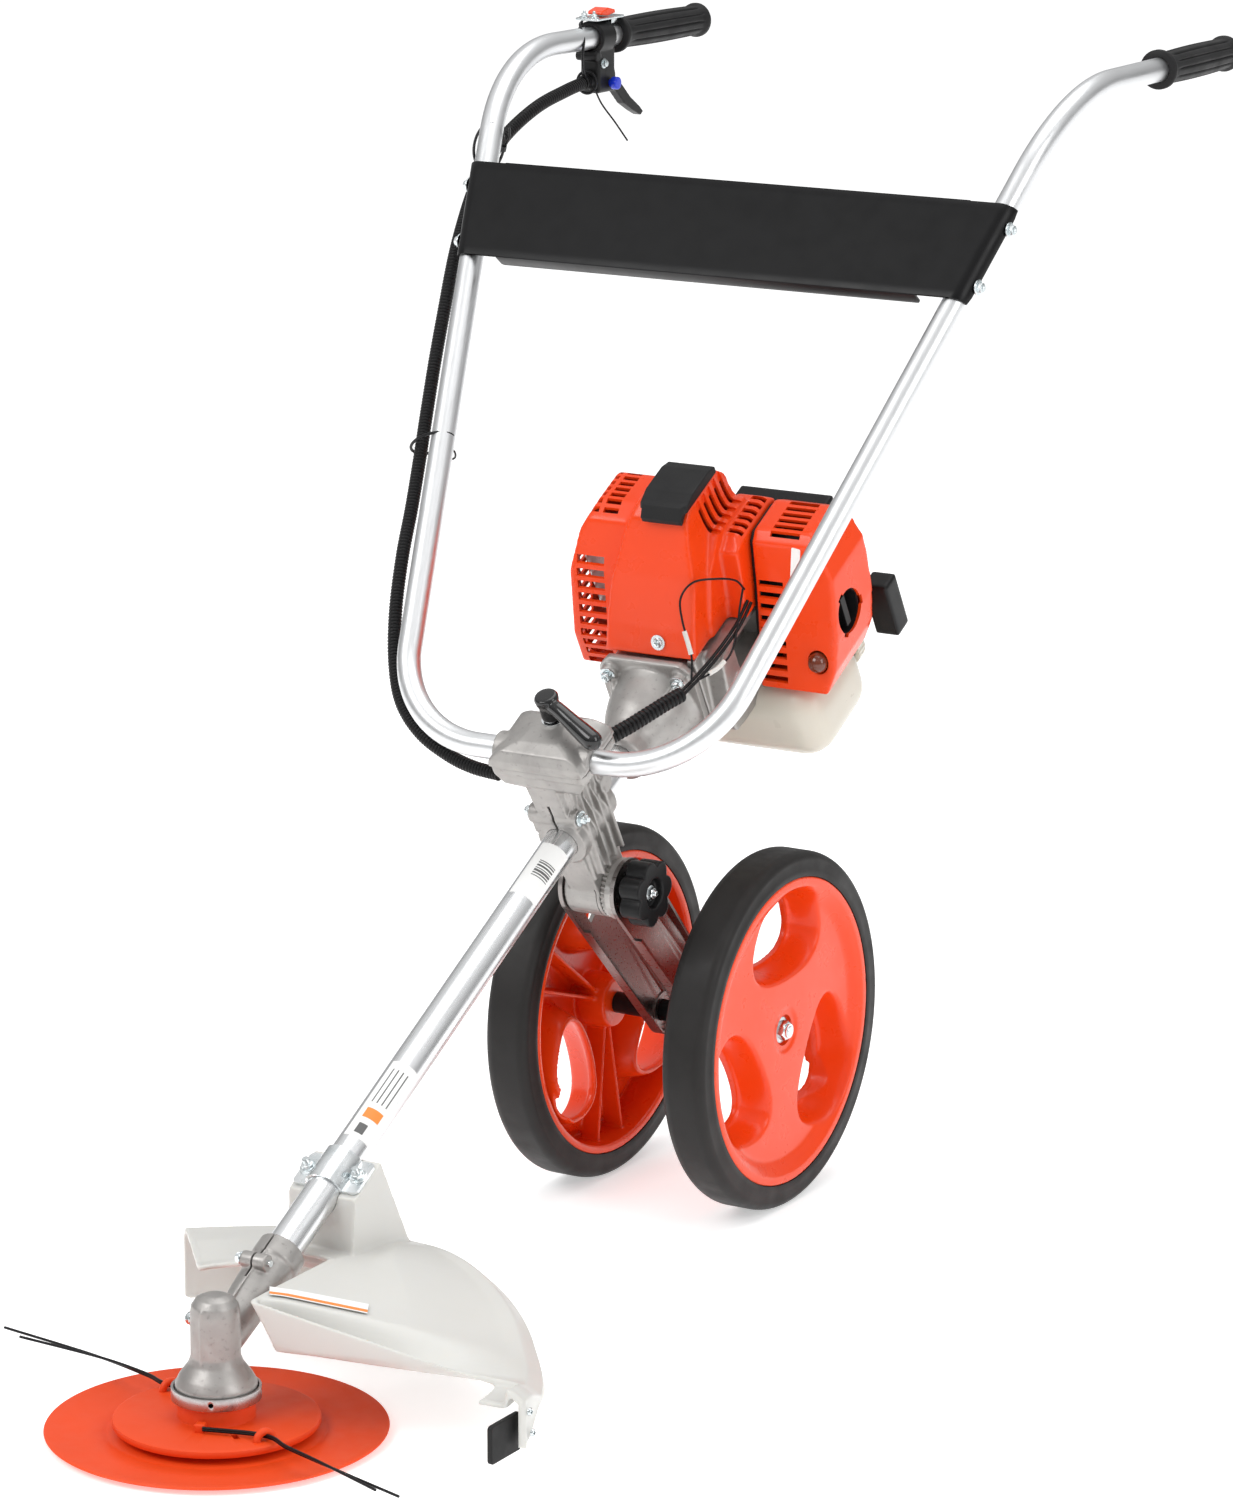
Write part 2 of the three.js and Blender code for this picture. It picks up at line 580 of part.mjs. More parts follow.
function addBracket() {
  const column = slab([
    [3, PIVOT_V + 8], [0, -40], [-3, -14], [-3, 14], [-6, 44], [-8, 62], [38, 62], [44, 40], [47, 10],
    [47, -20], [PIVOT_U + 22, PIVOT_V + 6], [PIVOT_U, PIVOT_V],
  ], 'x', -16, 16);
  const barrel = disc(BARREL_RADIUS, BARREL_LEFT, BARREL_RIGHT, 'x', 32).translate(0, PIVOT_U, PIVOT_V);
  const sleeve = disc(PIPE_RADIUS + 7, 0, 54, 'y', 32);
  const boss = disc(9, -25, 19, 'x', 20).translate(0, 11, 25);
  const base = slab([
    [-10, BAR_V - GAP], [-10, 62], [2, 48], [34, 48], [44, 62], [44, BAR_V - GAP],
  ], 'x', CLAMP_SHIFT - BASE_HALF_WIDTH, CLAMP_SHIFT + BASE_HALF_WIDTH);
  const taper = at(slab([
    [-BASE_HALF_WIDTH, 90], [-BASE_HALF_WIDTH, 68], [-17, 42], [17, 42], [BASE_HALF_WIDTH, 68],
    [BASE_HALF_WIDTH, 90],
  ], 'y', -20, 60), CLAMP_SHIFT, 0, 0);
  const ribs = [0, 1, 2, 3].flatMap((i) => {
    const u = 6 + i * 11;
    return [1, -1].map((side) => {
      const rib = block([Math.min(side * 14, side * 23), Math.max(side * 14, side * 23)], [u, u + 3], [-42, 58]);
      return rib;
    });
  });
  const body = join(column, barrel, sleeve, boss, common(base, taper), ...ribs);
  add(shaftLine, 'bracket_body', cut(
    body,
    disc(PIPE_RADIUS + GAP, -20, 70, 'y', 28),
    disc(BAR_RADIUS + GAP, -60, 60, 'x', 24).translate(0, BAR_U, BAR_V),
    disc(AXLE_RADIUS + GAP, -40, 40, 'x', 20).translate(0, PIVOT_U, PIVOT_V),
    disc(4.6, -40, 40, 'x', 14).translate(0, 11, 25),
    disc(4.6, 58, 90, 'z', 14).translate(CLAMP_SHIFT, STUD_U, 0),
    disc(ARM_PIVOT_RADIUS + 1, BARREL_RIGHT + GAP, 40, 'x', 24).translate(0, PIVOT_U, PIVOT_V),
    disc(ARM_PIVOT_RADIUS + 1, -40, BARREL_LEFT - GAP, 'x', 24).translate(0, PIVOT_U, PIVOT_V),
  ), CAST);
}

function addPipeClampBolt() {
  const shank = disc(4.2, -24, 30, 'x', 14);
  const head = slab(hexagon(7), 'x', -32, -25.3);
  add(shaftLine, 'pipe_clamp_bolt', at(join(shank, head.clone(), block([-26, -24], [-2, 2], [-2, 2])), 0, 11, 25), ZINC);
}

function addHandleClamp() {
  const side = slab([
    [-10, BAR_V + GAP], [-10, 89], [-4, 95], [12, 99], [36, 99], [44, 94], [44, BAR_V + GAP],
  ], 'x', CLAMP_SHIFT - 50, CLAMP_SHIFT + 50);
  const front = slab([
    [-BASE_HALF_WIDTH - 1, 60], [-BASE_HALF_WIDTH - 1, 86], [-20, 100], [20, 100],
    [BASE_HALF_WIDTH + 1, 86], [BASE_HALF_WIDTH + 1, 60],
  ], 'y', -20, 60).translate(CLAMP_SHIFT, 0, 0);
  const boss = disc(10.5, 90, 101, 'z', 20).translate(CLAMP_SHIFT, STUD_U, 0);
  add(shaftLine, 'handle_clamp_cap', cut(
    join(common(side, front), boss),
    disc(BAR_RADIUS + GAP, -60, 60, 'x', 24).translate(0, BAR_U, BAR_V),
    disc(4.6, 70, 110, 'z', 14).translate(CLAMP_SHIFT, STUD_U, 0),
  ), CAST);
  add(shaftLine, 'clamp_stud', disc(4, 59, 107, 'z', 14).translate(CLAMP_SHIFT, STUD_U, 0), ZINC);
}

function addClampLever() {
  const head = turned([[0, 101.6], [8.5, 101.6], [9, 112], [10, 122], [7, 126], [0, 126.5]], 'z', 20);
  const arm = bar([0, 0, 116], [50, -24, 108], 8, 8, 14);
  const knob = new THREE.SphereGeometry(8.2, 12, 8).translate(51, -24.5, 107);
  const lever = cut(join(head, arm, knob), disc(4.4, 100, 107.4, 'z', 14));
  add(shaftLine, 'clamp_lever', at(lever, CLAMP_SHIFT, STUD_U, 0), BLACK);
}

// ---------------------------------------------------------------- swing arm and wheels
const ARM_AXLE_RADIUS = 20;
const LEFT_ARM_X = 24.3;
const RIGHT_ARM_X = -20.3 - ARM_WALL;

function armOutline(spread) {
  const shape = new THREE.Shape();
  const big = ARM_PIVOT_RADIUS + spread;
  const small = ARM_AXLE_RADIUS + spread;
  shape.absarc(0, 0, big, Math.PI * 0.48, Math.PI * 1.52, false);
  shape.absarc(ARM_LENGTH, 0, small, -Math.PI * 0.48, Math.PI * 0.48, false);
  shape.closePath();
  return shape;
}

function addArms() {
  const holes = [
    disc(AXLE_RADIUS + GAP, -60, 60, 'x', 20),
    disc(SPACER_RADIUS + GAP, -60, 60, 'x', 24).translate(0, ARM_LENGTH, 0),
  ];
  const make = (x, flangeSide) => {
    const plate = slab(armOutline(0), 'x', x, x + ARM_WALL);
    const from = flangeSide > 0 ? x + ARM_WALL - 1 : x - 5;
    const flanges = [-1, 1].map((side) => {
      const strip = block([from, from + 6], [34, ARM_LENGTH - 26], [-1.25, 1.25]);
      const tilt = Math.asin((ARM_PIVOT_RADIUS - ARM_AXLE_RADIUS) / ARM_LENGTH);
      return strip.rotateX(-side * tilt).translate(0, 0, side * (ARM_PIVOT_RADIUS - 2));
    });
    return cut(join(plate, ...flanges), ...holes);
  };
  const window = block([-40, 0], [30, 40], [-12, 10]);
  add(swingArm, 'swing_arm_left', make(LEFT_ARM_X, 1), STEEL);
  add(swingArm, 'swing_arm_right', cut(make(RIGHT_ARM_X, -1), window), STEEL);
}

// The face-toothed ring that locks the arm's angle against the bracket.
function addSerratedRing() {
  const teeth = 24;
  const shape = new THREE.Shape();
  for (let i = 0; i < teeth * 2; i += 1) {
    const angle = (i / (teeth * 2)) * 2 * Math.PI;
    const radius = i % 2 === 0 ? BARREL_RADIUS : BARREL_RADIUS - 1.6;
    shape[i === 0 ? 'moveTo' : 'lineTo'](radius * Math.cos(angle), radius * Math.sin(angle));
  }
  shape.closePath();
  const plate = slab(shape, 'x', BARREL_RIGHT + 0.6, LEFT_ARM_X - GAP);
  add(swingArm, 'serrated_ring', cut(plate, disc(AXLE_RADIUS + GAP, 0, 40, 'x', 20)), CAST);
}

function addPivotBolt() {
  const shank = disc(AXLE_RADIUS, RIGHT_ARM_X - 1.5, LEFT_ARM_X + 26, 'x', 20);
  const head = slab(hexagon(10), 'x', RIGHT_ARM_X - 7, RIGHT_ARM_X - GAP);
  add(swingArm, 'pivot_bolt', join(shank, head), ZINC);
}

const KNOB_LOBES = 7;
const KNOB_RADIUS = 28;

function addHeightKnob() {
  const shape = new THREE.Shape();
  const steps = KNOB_LOBES * 6;
  for (let i = 0; i < steps; i += 1) {
    const angle = (i / steps) * 2 * Math.PI;
    const radius = KNOB_RADIUS - 2.6 * (1 - Math.abs(Math.cos((angle * KNOB_LOBES) / 2)) ** 0.7);
    shape[i === 0 ? 'moveTo' : 'lineTo'](radius * Math.cos(angle), radius * Math.sin(angle));
  }
  shape.closePath();
  const face = LEFT_ARM_X + ARM_WALL;
  const grip = slab(shape, 'x', face + 4, face + 24);
  const boss = disc(13, face + GAP, face + 6, 'x', 24);
  const well = disc(8.5, face + 18, face + 30, 'x', 20);
  const knob = cut(join(grip, boss), disc(AXLE_RADIUS + GAP, 0, 60, 'x', 20), well);
  add(swingArm, 'height_knob', knob, BLACK);
}

function addAxle() {
  const shank = disc(AXLE_RADIUS, -103, 103, 'x', 20);
  const nuts = [-1, 1].flatMap((side) => {
    const near = HALF_TRACK + 8.6;
    const washer = [near, near + 1.6].map((x) => x * side).sort((a, b) => a - b);
    const nut = [near + 1, near + 7].map((x) => x * side).sort((a, b) => a - b);
    return [disc(11, ...washer, 'x', 20), slab(hexagon(8.6), 'x', ...nut)];
  });
  add(swingArm, 'axle', at(join(shank, ...nuts), 0, ARM_LENGTH, 0), ZINC);
  const spacer = ring(AXLE_RADIUS + GAP, SPACER_RADIUS, -HALF_TRACK + 18.6, HALF_TRACK - 18.6, 'x', 24);
  add(swingArm, 'axle_spacer', at(spacer, 0, ARM_LENGTH, 0), BLACK);
}

// A rounded, slightly skewed window outline, drawn round the point (radius, 0).
function windowOutline(grow) {
  const shape = new THREE.Shape();
  const steps = 16;
  for (let i = 0; i < steps; i += 1) {
    const t = (i / steps) * 2 * Math.PI;
    const lengthways = (47 + grow) * Math.cos(t);
    const across = (21 + grow) * Math.sin(t) * (1 - 0.25 * Math.cos(t));
    const lean = THREE.MathUtils.degToRad(14);
    const a = 82 + across * Math.cos(lean) - lengthways * Math.sin(lean) - lengthways ** 2 * 0.005;
    const b = lengthways * Math.cos(lean) + across * Math.sin(lean);
    shape[i === 0 ? 'moveTo' : 'lineTo'](a, b);
  }
  shape.closePath();
  return shape;
}

const WINDOW_TURN = THREE.MathUtils.degToRad(100);

function wheelRim() {
  const half = WHEEL_WIDTH / 2;
  const bore = AXLE_RADIUS + GAP;
  const profile = [
    [bore, 8], [19, 8], [23, 12.5], [34, 14], [64, 13], [100, 12], [114, 14.5], [121, half], [RIM_RADIUS, half],
    [RIM_RADIUS, -half], [124.5, -half], [121.5, -6], [112, 6.5], [64, 6], [26, 5], [20, -18], [bore, -18], [bore, 8],
  ];
  const dish = turned(profile, 'x', 36);
  const windows = [0, 1, 2].map((i) => WINDOW_TURN + (i * 2 * Math.PI) / 3);
  const collars = windows.map((angle) => slab(windowOutline(3), 'x', -9, 10).rotateX(angle));
  const holes = windows.map((angle) => slab(windowOutline(0), 'x', -30, 30).rotateX(angle));
  const ribs = windows.map((angle) => block([-6, 8], [24, 122], [-1.5, 1.5]).rotateX(angle + Math.PI / 3));
  return cut(join(dish, ...collars, ...ribs), ...holes);
}

function tyreShape() {
  const half = WHEEL_WIDTH / 2;
  const seat = RIM_RADIUS + GAP;
  return turned([
    [seat, -half], [seat + 6, -half - 0.5], [143, -half], [147.6, -half + 4], [WHEEL_RADIUS, -half + 10],
    [WHEEL_RADIUS, half - 10], [147.6, half - 4], [143, half], [seat + 6, half + 0.5], [seat, half], [seat, -half],
  ], 'x', 36);
}

function addWheels() {
  [['left', 1], ['right', -1]].forEach(([side, sign]) => {
    const face = sign > 0 ? 0 : Math.PI;
    const place = (geometry) => geometry.rotateZ(face).translate(sign * HALF_TRACK, AXLE_Y, WHEEL_RADIUS);
    add(machine, `wheel_rim_${side}`, place(wheelRim()), ORANGE);
    add(machine, `tyre_${side}`, place(tyreShape()), TYRE);
  });
}

// ---------------------------------------------------------------- handlebar
const BAR_TOP = BAR_FOOT.clone().addScaledVector(BAR_UP, BAR_LEG);
const BAR_TOP_HALF_WIDTH = BAR_FOOT_HALF_WIDTH + BAR_SPLAY * BAR_LEG;

function barCorner(side, name) {
  const corners = {
    foot: [side * BAR_FOOT_HALF_WIDTH, BAR_FOOT.y, BAR_FOOT.z],
    top: [side * BAR_TOP_HALF_WIDTH, BAR_TOP.y, BAR_TOP.z],
    grip: [side * GRIP_HALF_WIDTH, GRIP_END_Y - 4, BAR_TOP.z],
  };
  return new THREE.Vector3(...corners[name]);
}

function addHandlebar() {
  const route = bentRoute([
    [barCorner(-1, 'grip'), 0], [barCorner(-1, 'top'), 150], [barCorner(-1, 'foot'), 95],
    [barCorner(1, 'foot'), 95], [barCorner(1, 'top'), 150], [barCorner(1, 'grip'), 0],
  ]);
  add(machine, 'handlebar_tube', tube(route, BAR_RADIUS, 12), ALUMINIUM);
  [['left', 1], ['right', -1]].forEach(([side, sign]) => {
    const profile = [
      [BAR_RADIUS + GAP, GRIP_START_Y], [GRIP_RADIUS + 3, GRIP_START_Y], [GRIP_RADIUS + 3, GRIP_START_Y + 5],
      [GRIP_RADIUS, GRIP_START_Y + 7], [GRIP_RADIUS, GRIP_END_Y - 3], [GRIP_RADIUS - 2, GRIP_END_Y],
      [0, GRIP_END_Y], [0, GRIP_END_Y - 3.4], [BAR_RADIUS + GAP, GRIP_END_Y - 3.4],
      [BAR_RADIUS + GAP, GRIP_START_Y],
    ];
    const lean = Math.atan((BAR_TOP_HALF_WIDTH - GRIP_HALF_WIDTH) / (GRIP_END_Y - BAR_TOP.y));
    const sleeve = turned(profile, 'y', 20).translate(0, -GRIP_END_Y, 0).rotateZ(sign * lean);
    add(machine, `grip_${side}`, sleeve.translate(sign * GRIP_HALF_WIDTH, GRIP_END_Y, BAR_TOP.z), RUBBER);
  });
}

const PANEL_LOW = 425;
const PANEL_HIGH = 512;
const PANEL_WALL = 2;

// The sheet-metal panel across the legs: front face, lower flange and an ear round each leg.
function addPanel() {
  const edge = (s, out) => BAR_FOOT_HALF_WIDTH + BAR_SPLAY * s + out;
  const near = BAR_RADIUS + 0.5;
  const reach = near + PANEL_WALL;
  const face = slab([
    [-edge(PANEL_LOW, reach), PANEL_LOW], [edge(PANEL_LOW, reach), PANEL_LOW],
    [edge(PANEL_HIGH, reach), PANEL_HIGH], [-edge(PANEL_HIGH, reach), PANEL_HIGH],
  ], 'z', near, reach);
  const ear = (side) => slab([
    [side * edge(PANEL_LOW, near), PANEL_LOW], [side * edge(PANEL_LOW, reach), PANEL_LOW],
    [side * edge(PANEL_HIGH, reach), PANEL_HIGH], [side * edge(PANEL_HIGH, near), PANEL_HIGH],
  ], 'z', -9, reach - 0.5);
  const flange = block([-edge(PANEL_LOW, -24), edge(PANEL_LOW, -24)], [PANEL_LOW - 1, PANEL_LOW + 1], [-6, reach - 0.5]);
  add(barPlane, 'cross_panel', join(face, ear(1), ear(-1), flange), PANEL);
}

// ---------------------------------------------------------------- throttle
const THROTTLE_Y = 976;
const THROTTLE_X = -THREE.MathUtils.mapLinear(
  THROTTLE_Y, BAR_TOP.y, GRIP_END_Y, BAR_TOP_HALF_WIDTH, GRIP_HALF_WIDTH);
const TRIGGER_Y = 982;
const TRIGGER_Z = 888;

function addThrottle() {
  const barZ = BAR_TOP.z;
  const collar = disc(BAR_RADIUS + 5, THROTTLE_Y - 12, THROTTLE_Y + 12, 'y', 20).translate(THROTTLE_X, 0, barZ);
  const body = block([THROTTLE_X - 9, THROTTLE_X + 9], [THROTTLE_Y - 12, THROTTLE_Y + 16], [872, 912]);
  const slot = block([THROTTLE_X - 5, THROTTLE_X + 5], [THROTTLE_Y - 2, THROTTLE_Y + 30], [860, 901]);
  const bore = disc(BAR_RADIUS + GAP + 0.4, THROTTLE_Y - 40, THROTTLE_Y + 40, 'y', 24).translate(THROTTLE_X, 0, barZ);
  const inlet = disc(7, THROTTLE_Y - 24, THROTTLE_Y - 11, 'y', 14).translate(THROTTLE_X, 0, 882);
  const buttonHole = disc(3.4, 0, 20, 'x', 12).translate(THROTTLE_X, THROTTLE_Y + 8, 880);
  add(machine, 'throttle_body', cut(join(collar, body, inlet), slot, bore, buttonHole), BLACK);

  const hub = disc(6.5, -4.2, 4.2, 'x', 16);
  const blade = slab([
    [-3, -5], [4, -6], [30, -26], [60, -39], [63, -36], [40, -20], [14, 0], [4, 5],
  ], 'x', -4.2, 4.2);
  add(machine, 'throttle_trigger', at(join(hub, blade), THROTTLE_X, TRIGGER_Y + 4, TRIGGER_Z - 4), BLACK);

  const stem = disc(3, 6.6, 13, 'x', 12);
  const cap = disc(5.5, 11.6, 18, 'x', 14);
  add(machine, 'lock_button', at(join(stem, cap), THROTTLE_X, THROTTLE_Y + 8, 880), BLUE);

  const strap = block([THROTTLE_X - 12, THROTTLE_X + 12], [THROTTLE_Y - 16, THROTTLE_Y + 22], [barZ + 15.4, barZ + 17.4]);
  const drum = block([THROTTLE_X - 9, THROTTLE_X + 9], [THROTTLE_Y + 12.4, THROTTLE_Y + 22], [barZ + 11, barZ + 16]);
  add(machine, 'switch_bracket', join(strap, drum), ZINC);
  const rocker = slab([
    [THROTTLE_Y + 9, barZ + 17.8], [THROTTLE_Y + 20, barZ + 19.8], [THROTTLE_Y + 19, barZ + 22],
    [THROTTLE_Y + 9, barZ + 24.5], [THROTTLE_Y - 1, barZ + 22], [THROTTLE_Y - 2, barZ + 19.8],
  ], 'x', THROTTLE_X - 7, THROTTLE_X + 7);
  add(machine, 'stop_switch', rocker, ORANGE);
}

// The corrugated sleeve from the throttle down the outside of the right leg to the clamp.
const THROTTLE_SLEEVE = [
  [-262, 951, 882], [-263, 925, 878], [-266, 885, 869], [-270, 846, 852], [-270, 812, 832], [-266, 782, 810],
  [-258, 752, 786], [-250, 724, 758], [-242, 697, 722], [-234, 670, 684], [-225, 643, 646], [-214, 614, 610],
  [-203, 584, 574], [-194, 556, 540], [-184, 530, 500], [-172, 510, 464], [-154, 492, 436], [-128, 480, 416],
  [-98, 474, 403], [-72, 470, 397], [-46, 468, 395],
];
const ENGINE_SLEEVE = [
  [22, 56, 56], [27, 68, 56], [33, 84, 53], [39, 102, 50], [45, 120, 47], [50, 137, 43],
];
const ENGINE_LEAD = [
  [50, 135, 43.5], [54, 158, 43], [60, 184, 46], [65, 208, 51], [67, 222, 55], [67, 238, 59],
];

function addSleeves() {
  add(machine, 'throttle_sleeve', tube(smoothRoute(THROTTLE_SLEEVE, 36), 5.5, 8), BLACK);
  const sleeve = tube(smoothRoute(ENGINE_SLEEVE, 14), 6, 8);
  const lead = tube(smoothRoute(ENGINE_LEAD, 10), 1.7, 6);
  add(shaftLine, 'engine_sleeve', join(sleeve, lead), BLACK);
}

// ---------------------------------------------------------------- engine
const CLUTCH_RADIUS = 27;

function addClutch() {
  const bell = turned([
    [PIPE_RADIUS + GAP, 98], [23, 98], [23, 112], [25.5, 122], [31, 134], [34, 146], [36, 158], [41, 166],
    [41, FLANGE_U], [31, FLANGE_U], [31, 137], [24, 130], [24, 119], [PIPE_RADIUS + GAP, 119],
    [PIPE_RADIUS + GAP, 98],
  ], 'y', 28);
  const plate = cut(
    slab([
      [-42, -26], [-30, -36], [30, -36], [42, -26], [42, 36], [32, 44], [-32, 44], [-42, 36],
    ], 'y', FLANGE_U - 6, FLANGE_U),
    disc(31, FLANGE_U - 10, FLANGE_U + 10, 'y', 28));
  const bosses = [[-32, 32], [32, 32], [-32, -25], [32, -25]].map(([x, v]) => (
    disc(6.4, FLANGE_U - 13, FLANGE_U, 'y', 12).translate(x, 0, v)
  ));
  add(shaftLine, 'clutch_housing', cut(
    join(bell, plate, ...bosses), disc(31, 138, FLANGE_U + 5, 'y', 28)), CAST);
  const drum = turned([
    [SHAFT_RADIUS + GAP, 132], [7, 132], [8, 141], [CLUTCH_RADIUS, 143], [CLUTCH_RADIUS, 163],
    [CLUTCH_RADIUS - 2, 163], [CLUTCH_RADIUS - 2, 145], [SHAFT_RADIUS + GAP, 145], [SHAFT_RADIUS + GAP, 132],
  ], 'y', 24);
  add(shaftLine, 'clutch_drum', drum, STEEL);
  const shoes = cut(
    disc(CLUTCH_RADIUS - 3, 148, 161, 'y', 24),
    disc(7.3, 140, 170, 'y', 16),
    block([-1.2, 1.2], [140, 170], [6, 40]));
  add(shaftLine, 'clutch_shoes', shoes, CAST);
}

const WEB_RADIUS = 22;
const CRANK_THROW = 13;

function addCrank() {
  const journals = join(disc(7, 150, 224, 'y', 16), disc(7, 248, 300, 'y', 16));
  const webs = [[222, 230], [242, 250]].map(([a, b]) => disc(WEB_RADIUS, a, b, 'y', 24));
  const pin = disc(5, 228, 244, 'y', 12).translate(0, 0, CRANK_THROW);
  const wheel = turned([[0, 272], [50, 272], [50, 279], [20, 279], [20, 292], [0, 292]], 'y', 24);
  const fins = Array.from({ length: 7 }, (_, i) => (
    block([15, 46], [277, 290], [-1.2, 1.2]).rotateY((i / 7) * 2 * Math.PI)
  ));
  add(shaftLine, 'crank_flywheel', join(webs[0], webs[1], pin, journals, wheel, ...fins), STEEL);
}

function addCrankcase() {
  const shell = block([-37, 37], [FLANGE_U + GAP, 262], [-36, 40]);
  const bore = disc(26, FLANGE_U - 5, 270, 'y', 28);
  const throat = disc(16, 0, 60, 'z', 24).translate(0, CYLINDER_U, 0);
  add(shaftLine, 'crankcase', cut(shell, bore, throat), CAST);
}

function addCylinder() {
  const finCount = 5;
  const profile = [[16, 40.3], [23, 40.3]];
  for (let i = 0; i < finCount; i += 1) {
    const v = 48 + i * 10;
    profile.push([18.5, v - 2], [23.5, v - 1], [23.5, v + 1.5], [18.5, v + 2.5]);
  }
  profile.push([18.5, 100], [12, 104], [0, 104], [0, 98], [16, 96], [16, 40.3]);
  add(shaftLine, 'cylinder', at(turned(profile, 'z', 14), 0, CYLINDER_U, 0), CAST);
  const piston = turned([[0, 90], [15.6, 89], [15.6, 62], [12.6, 62], [12.6, 84], [0, 84]], 'z', 24);
  add(shaftLine, 'piston', at(piston, 0, CYLINDER_U, 0), ALUMINIUM);
  const plug = turned([[0, 104.4], [7, 104.4], [7, 110], [8, 111], [8, 124], [5, 130], [0, 130]], 'z', 16);
  add(shaftLine, 'spark_plug', at(plug, 0, CYLINDER_U, 0), BLACK);
}

// Side profiles of the cover as (along the pipe, square to it), counter-clockwise.
const COVER_LEFT_X = 65;
const COVER_RIGHT_X = -79;
const COVER_BACK = 300;
const COVER_BAYS = [
  { from: COVER_RIGHT_X, to: -22, foot: 14, profile: [[190, 14], [COVER_BACK, 14], [COVER_BACK, 126], [288, 139],
    [252, 141], [234, 133], [211, 98], [190, 46]] },
  { from: -36, to: 44, foot: 46, profile: [[173, 46], [COVER_BACK, 46], [COVER_BACK, 140], [290, 151], [244, 151],
    [231, 143], [178, 62]] },
  { from: 36, to: COVER_LEFT_X, foot: 30, profile: [[224, 30], [316, 30], [316, 104], [308, 112], [258, 112],
    [244, 103], [243, 74]] },
];
const COVER_FRONT = [
  [COVER_RIGHT_X, 0], [COVER_LEFT_X, 0], [COVER_LEFT_X, 106], [54, 118], [44, 150], [38, 160], [-56, 160],
  [-70, 146], [-78, 124],
];

function coverBay(bay, wall) {
  const profile = wall > 0 ? inset(bay.profile, wall) : bay.profile;
  const low = profile.map(([u, v]) => [u, v < bay.foot + wall + 1 ? v - 40 * Math.sign(wall) : v]);
  return slab(low, 'x', bay.from + wall, bay.to - wall);
}

function addEngineCover() {
  const front = slab(COVER_FRONT, 'y', 150, 330);
  const inner = slab(inset(COVER_FRONT, COVER_WALL).map(([x, v]) => [x, v < 10 ? -40 : v]), 'y', 150, 330);
  const skin = common(join(...COVER_BAYS.map((bay) => coverBay(bay, 0))), front);
  const hollow = common(join(
    ...COVER_BAYS.map((bay) => coverBay(bay, COVER_WALL)),
    block([-50, 60], [240, COVER_BACK + 8 - COVER_WALL], [10, 100])), inner);
  const sideSlots = Array.from({ length: 6 }, (_, i) => block(
    [-90, -52], [196, 222 + i * 2], [24 + i * 13, 30 + i * 13]));
  const topSlots = Array.from({ length: 3 }, (_, i) => block([-62, -34], [256 + i * 12, 262 + i * 12], [140, 170]));
  const leftSlots = Array.from({ length: 4 }, (_, i) => block([48, 60], [254 + i * 13, 260 + i * 13], [104, 130]));
  const crankRoom = block([-38, 38], [FLANGE_U - 2, 263], [-40, 41]);
  const starterRoom = disc(STARTER_RADIUS + 0.6, COVER_BACK - 8, 350, 'y', 36);
  add(shaftLine, 'engine_cover', cut(
    skin, hollow, ...sideSlots, ...topSlots, ...leftSlots, crankRoom, starterRoom), ORANGE);

  const cap = slab([
    [231, 151.3], [287, 151.3], [286, 158], [276, 161.5], [246, 161.5], [234, 157],
  ], 'x', -6, 38);
  add(shaftLine, 'cover_cap', cap, RUBBER);
}

function addMuffler() {
  const can = block([-70, -32], [222, 276], [44, 108]);
  const pipe = disc(8, -34, -26, 'x', 16).translate(0, CYLINDER_U, 70);
  add(shaftLine, 'muffler', join(can, pipe), STEEL);
}

const AIR_PROFILE = [
  [216, -14], [290, -14], [297, 4], [312, 60], [316, 104], [308, 110], [270, 110], [261, 103], [249, 66],
];
const AIR_FRONT = [
  [COVER_LEFT_X + 4, -20], [128, -20], [139, 4], [142, 30], [141, 78], [133, 98], [120, 112],
  [COVER_LEFT_X + 4, 112],
];

const CHOKE_U = 264;
const CHOKE_V = 38;

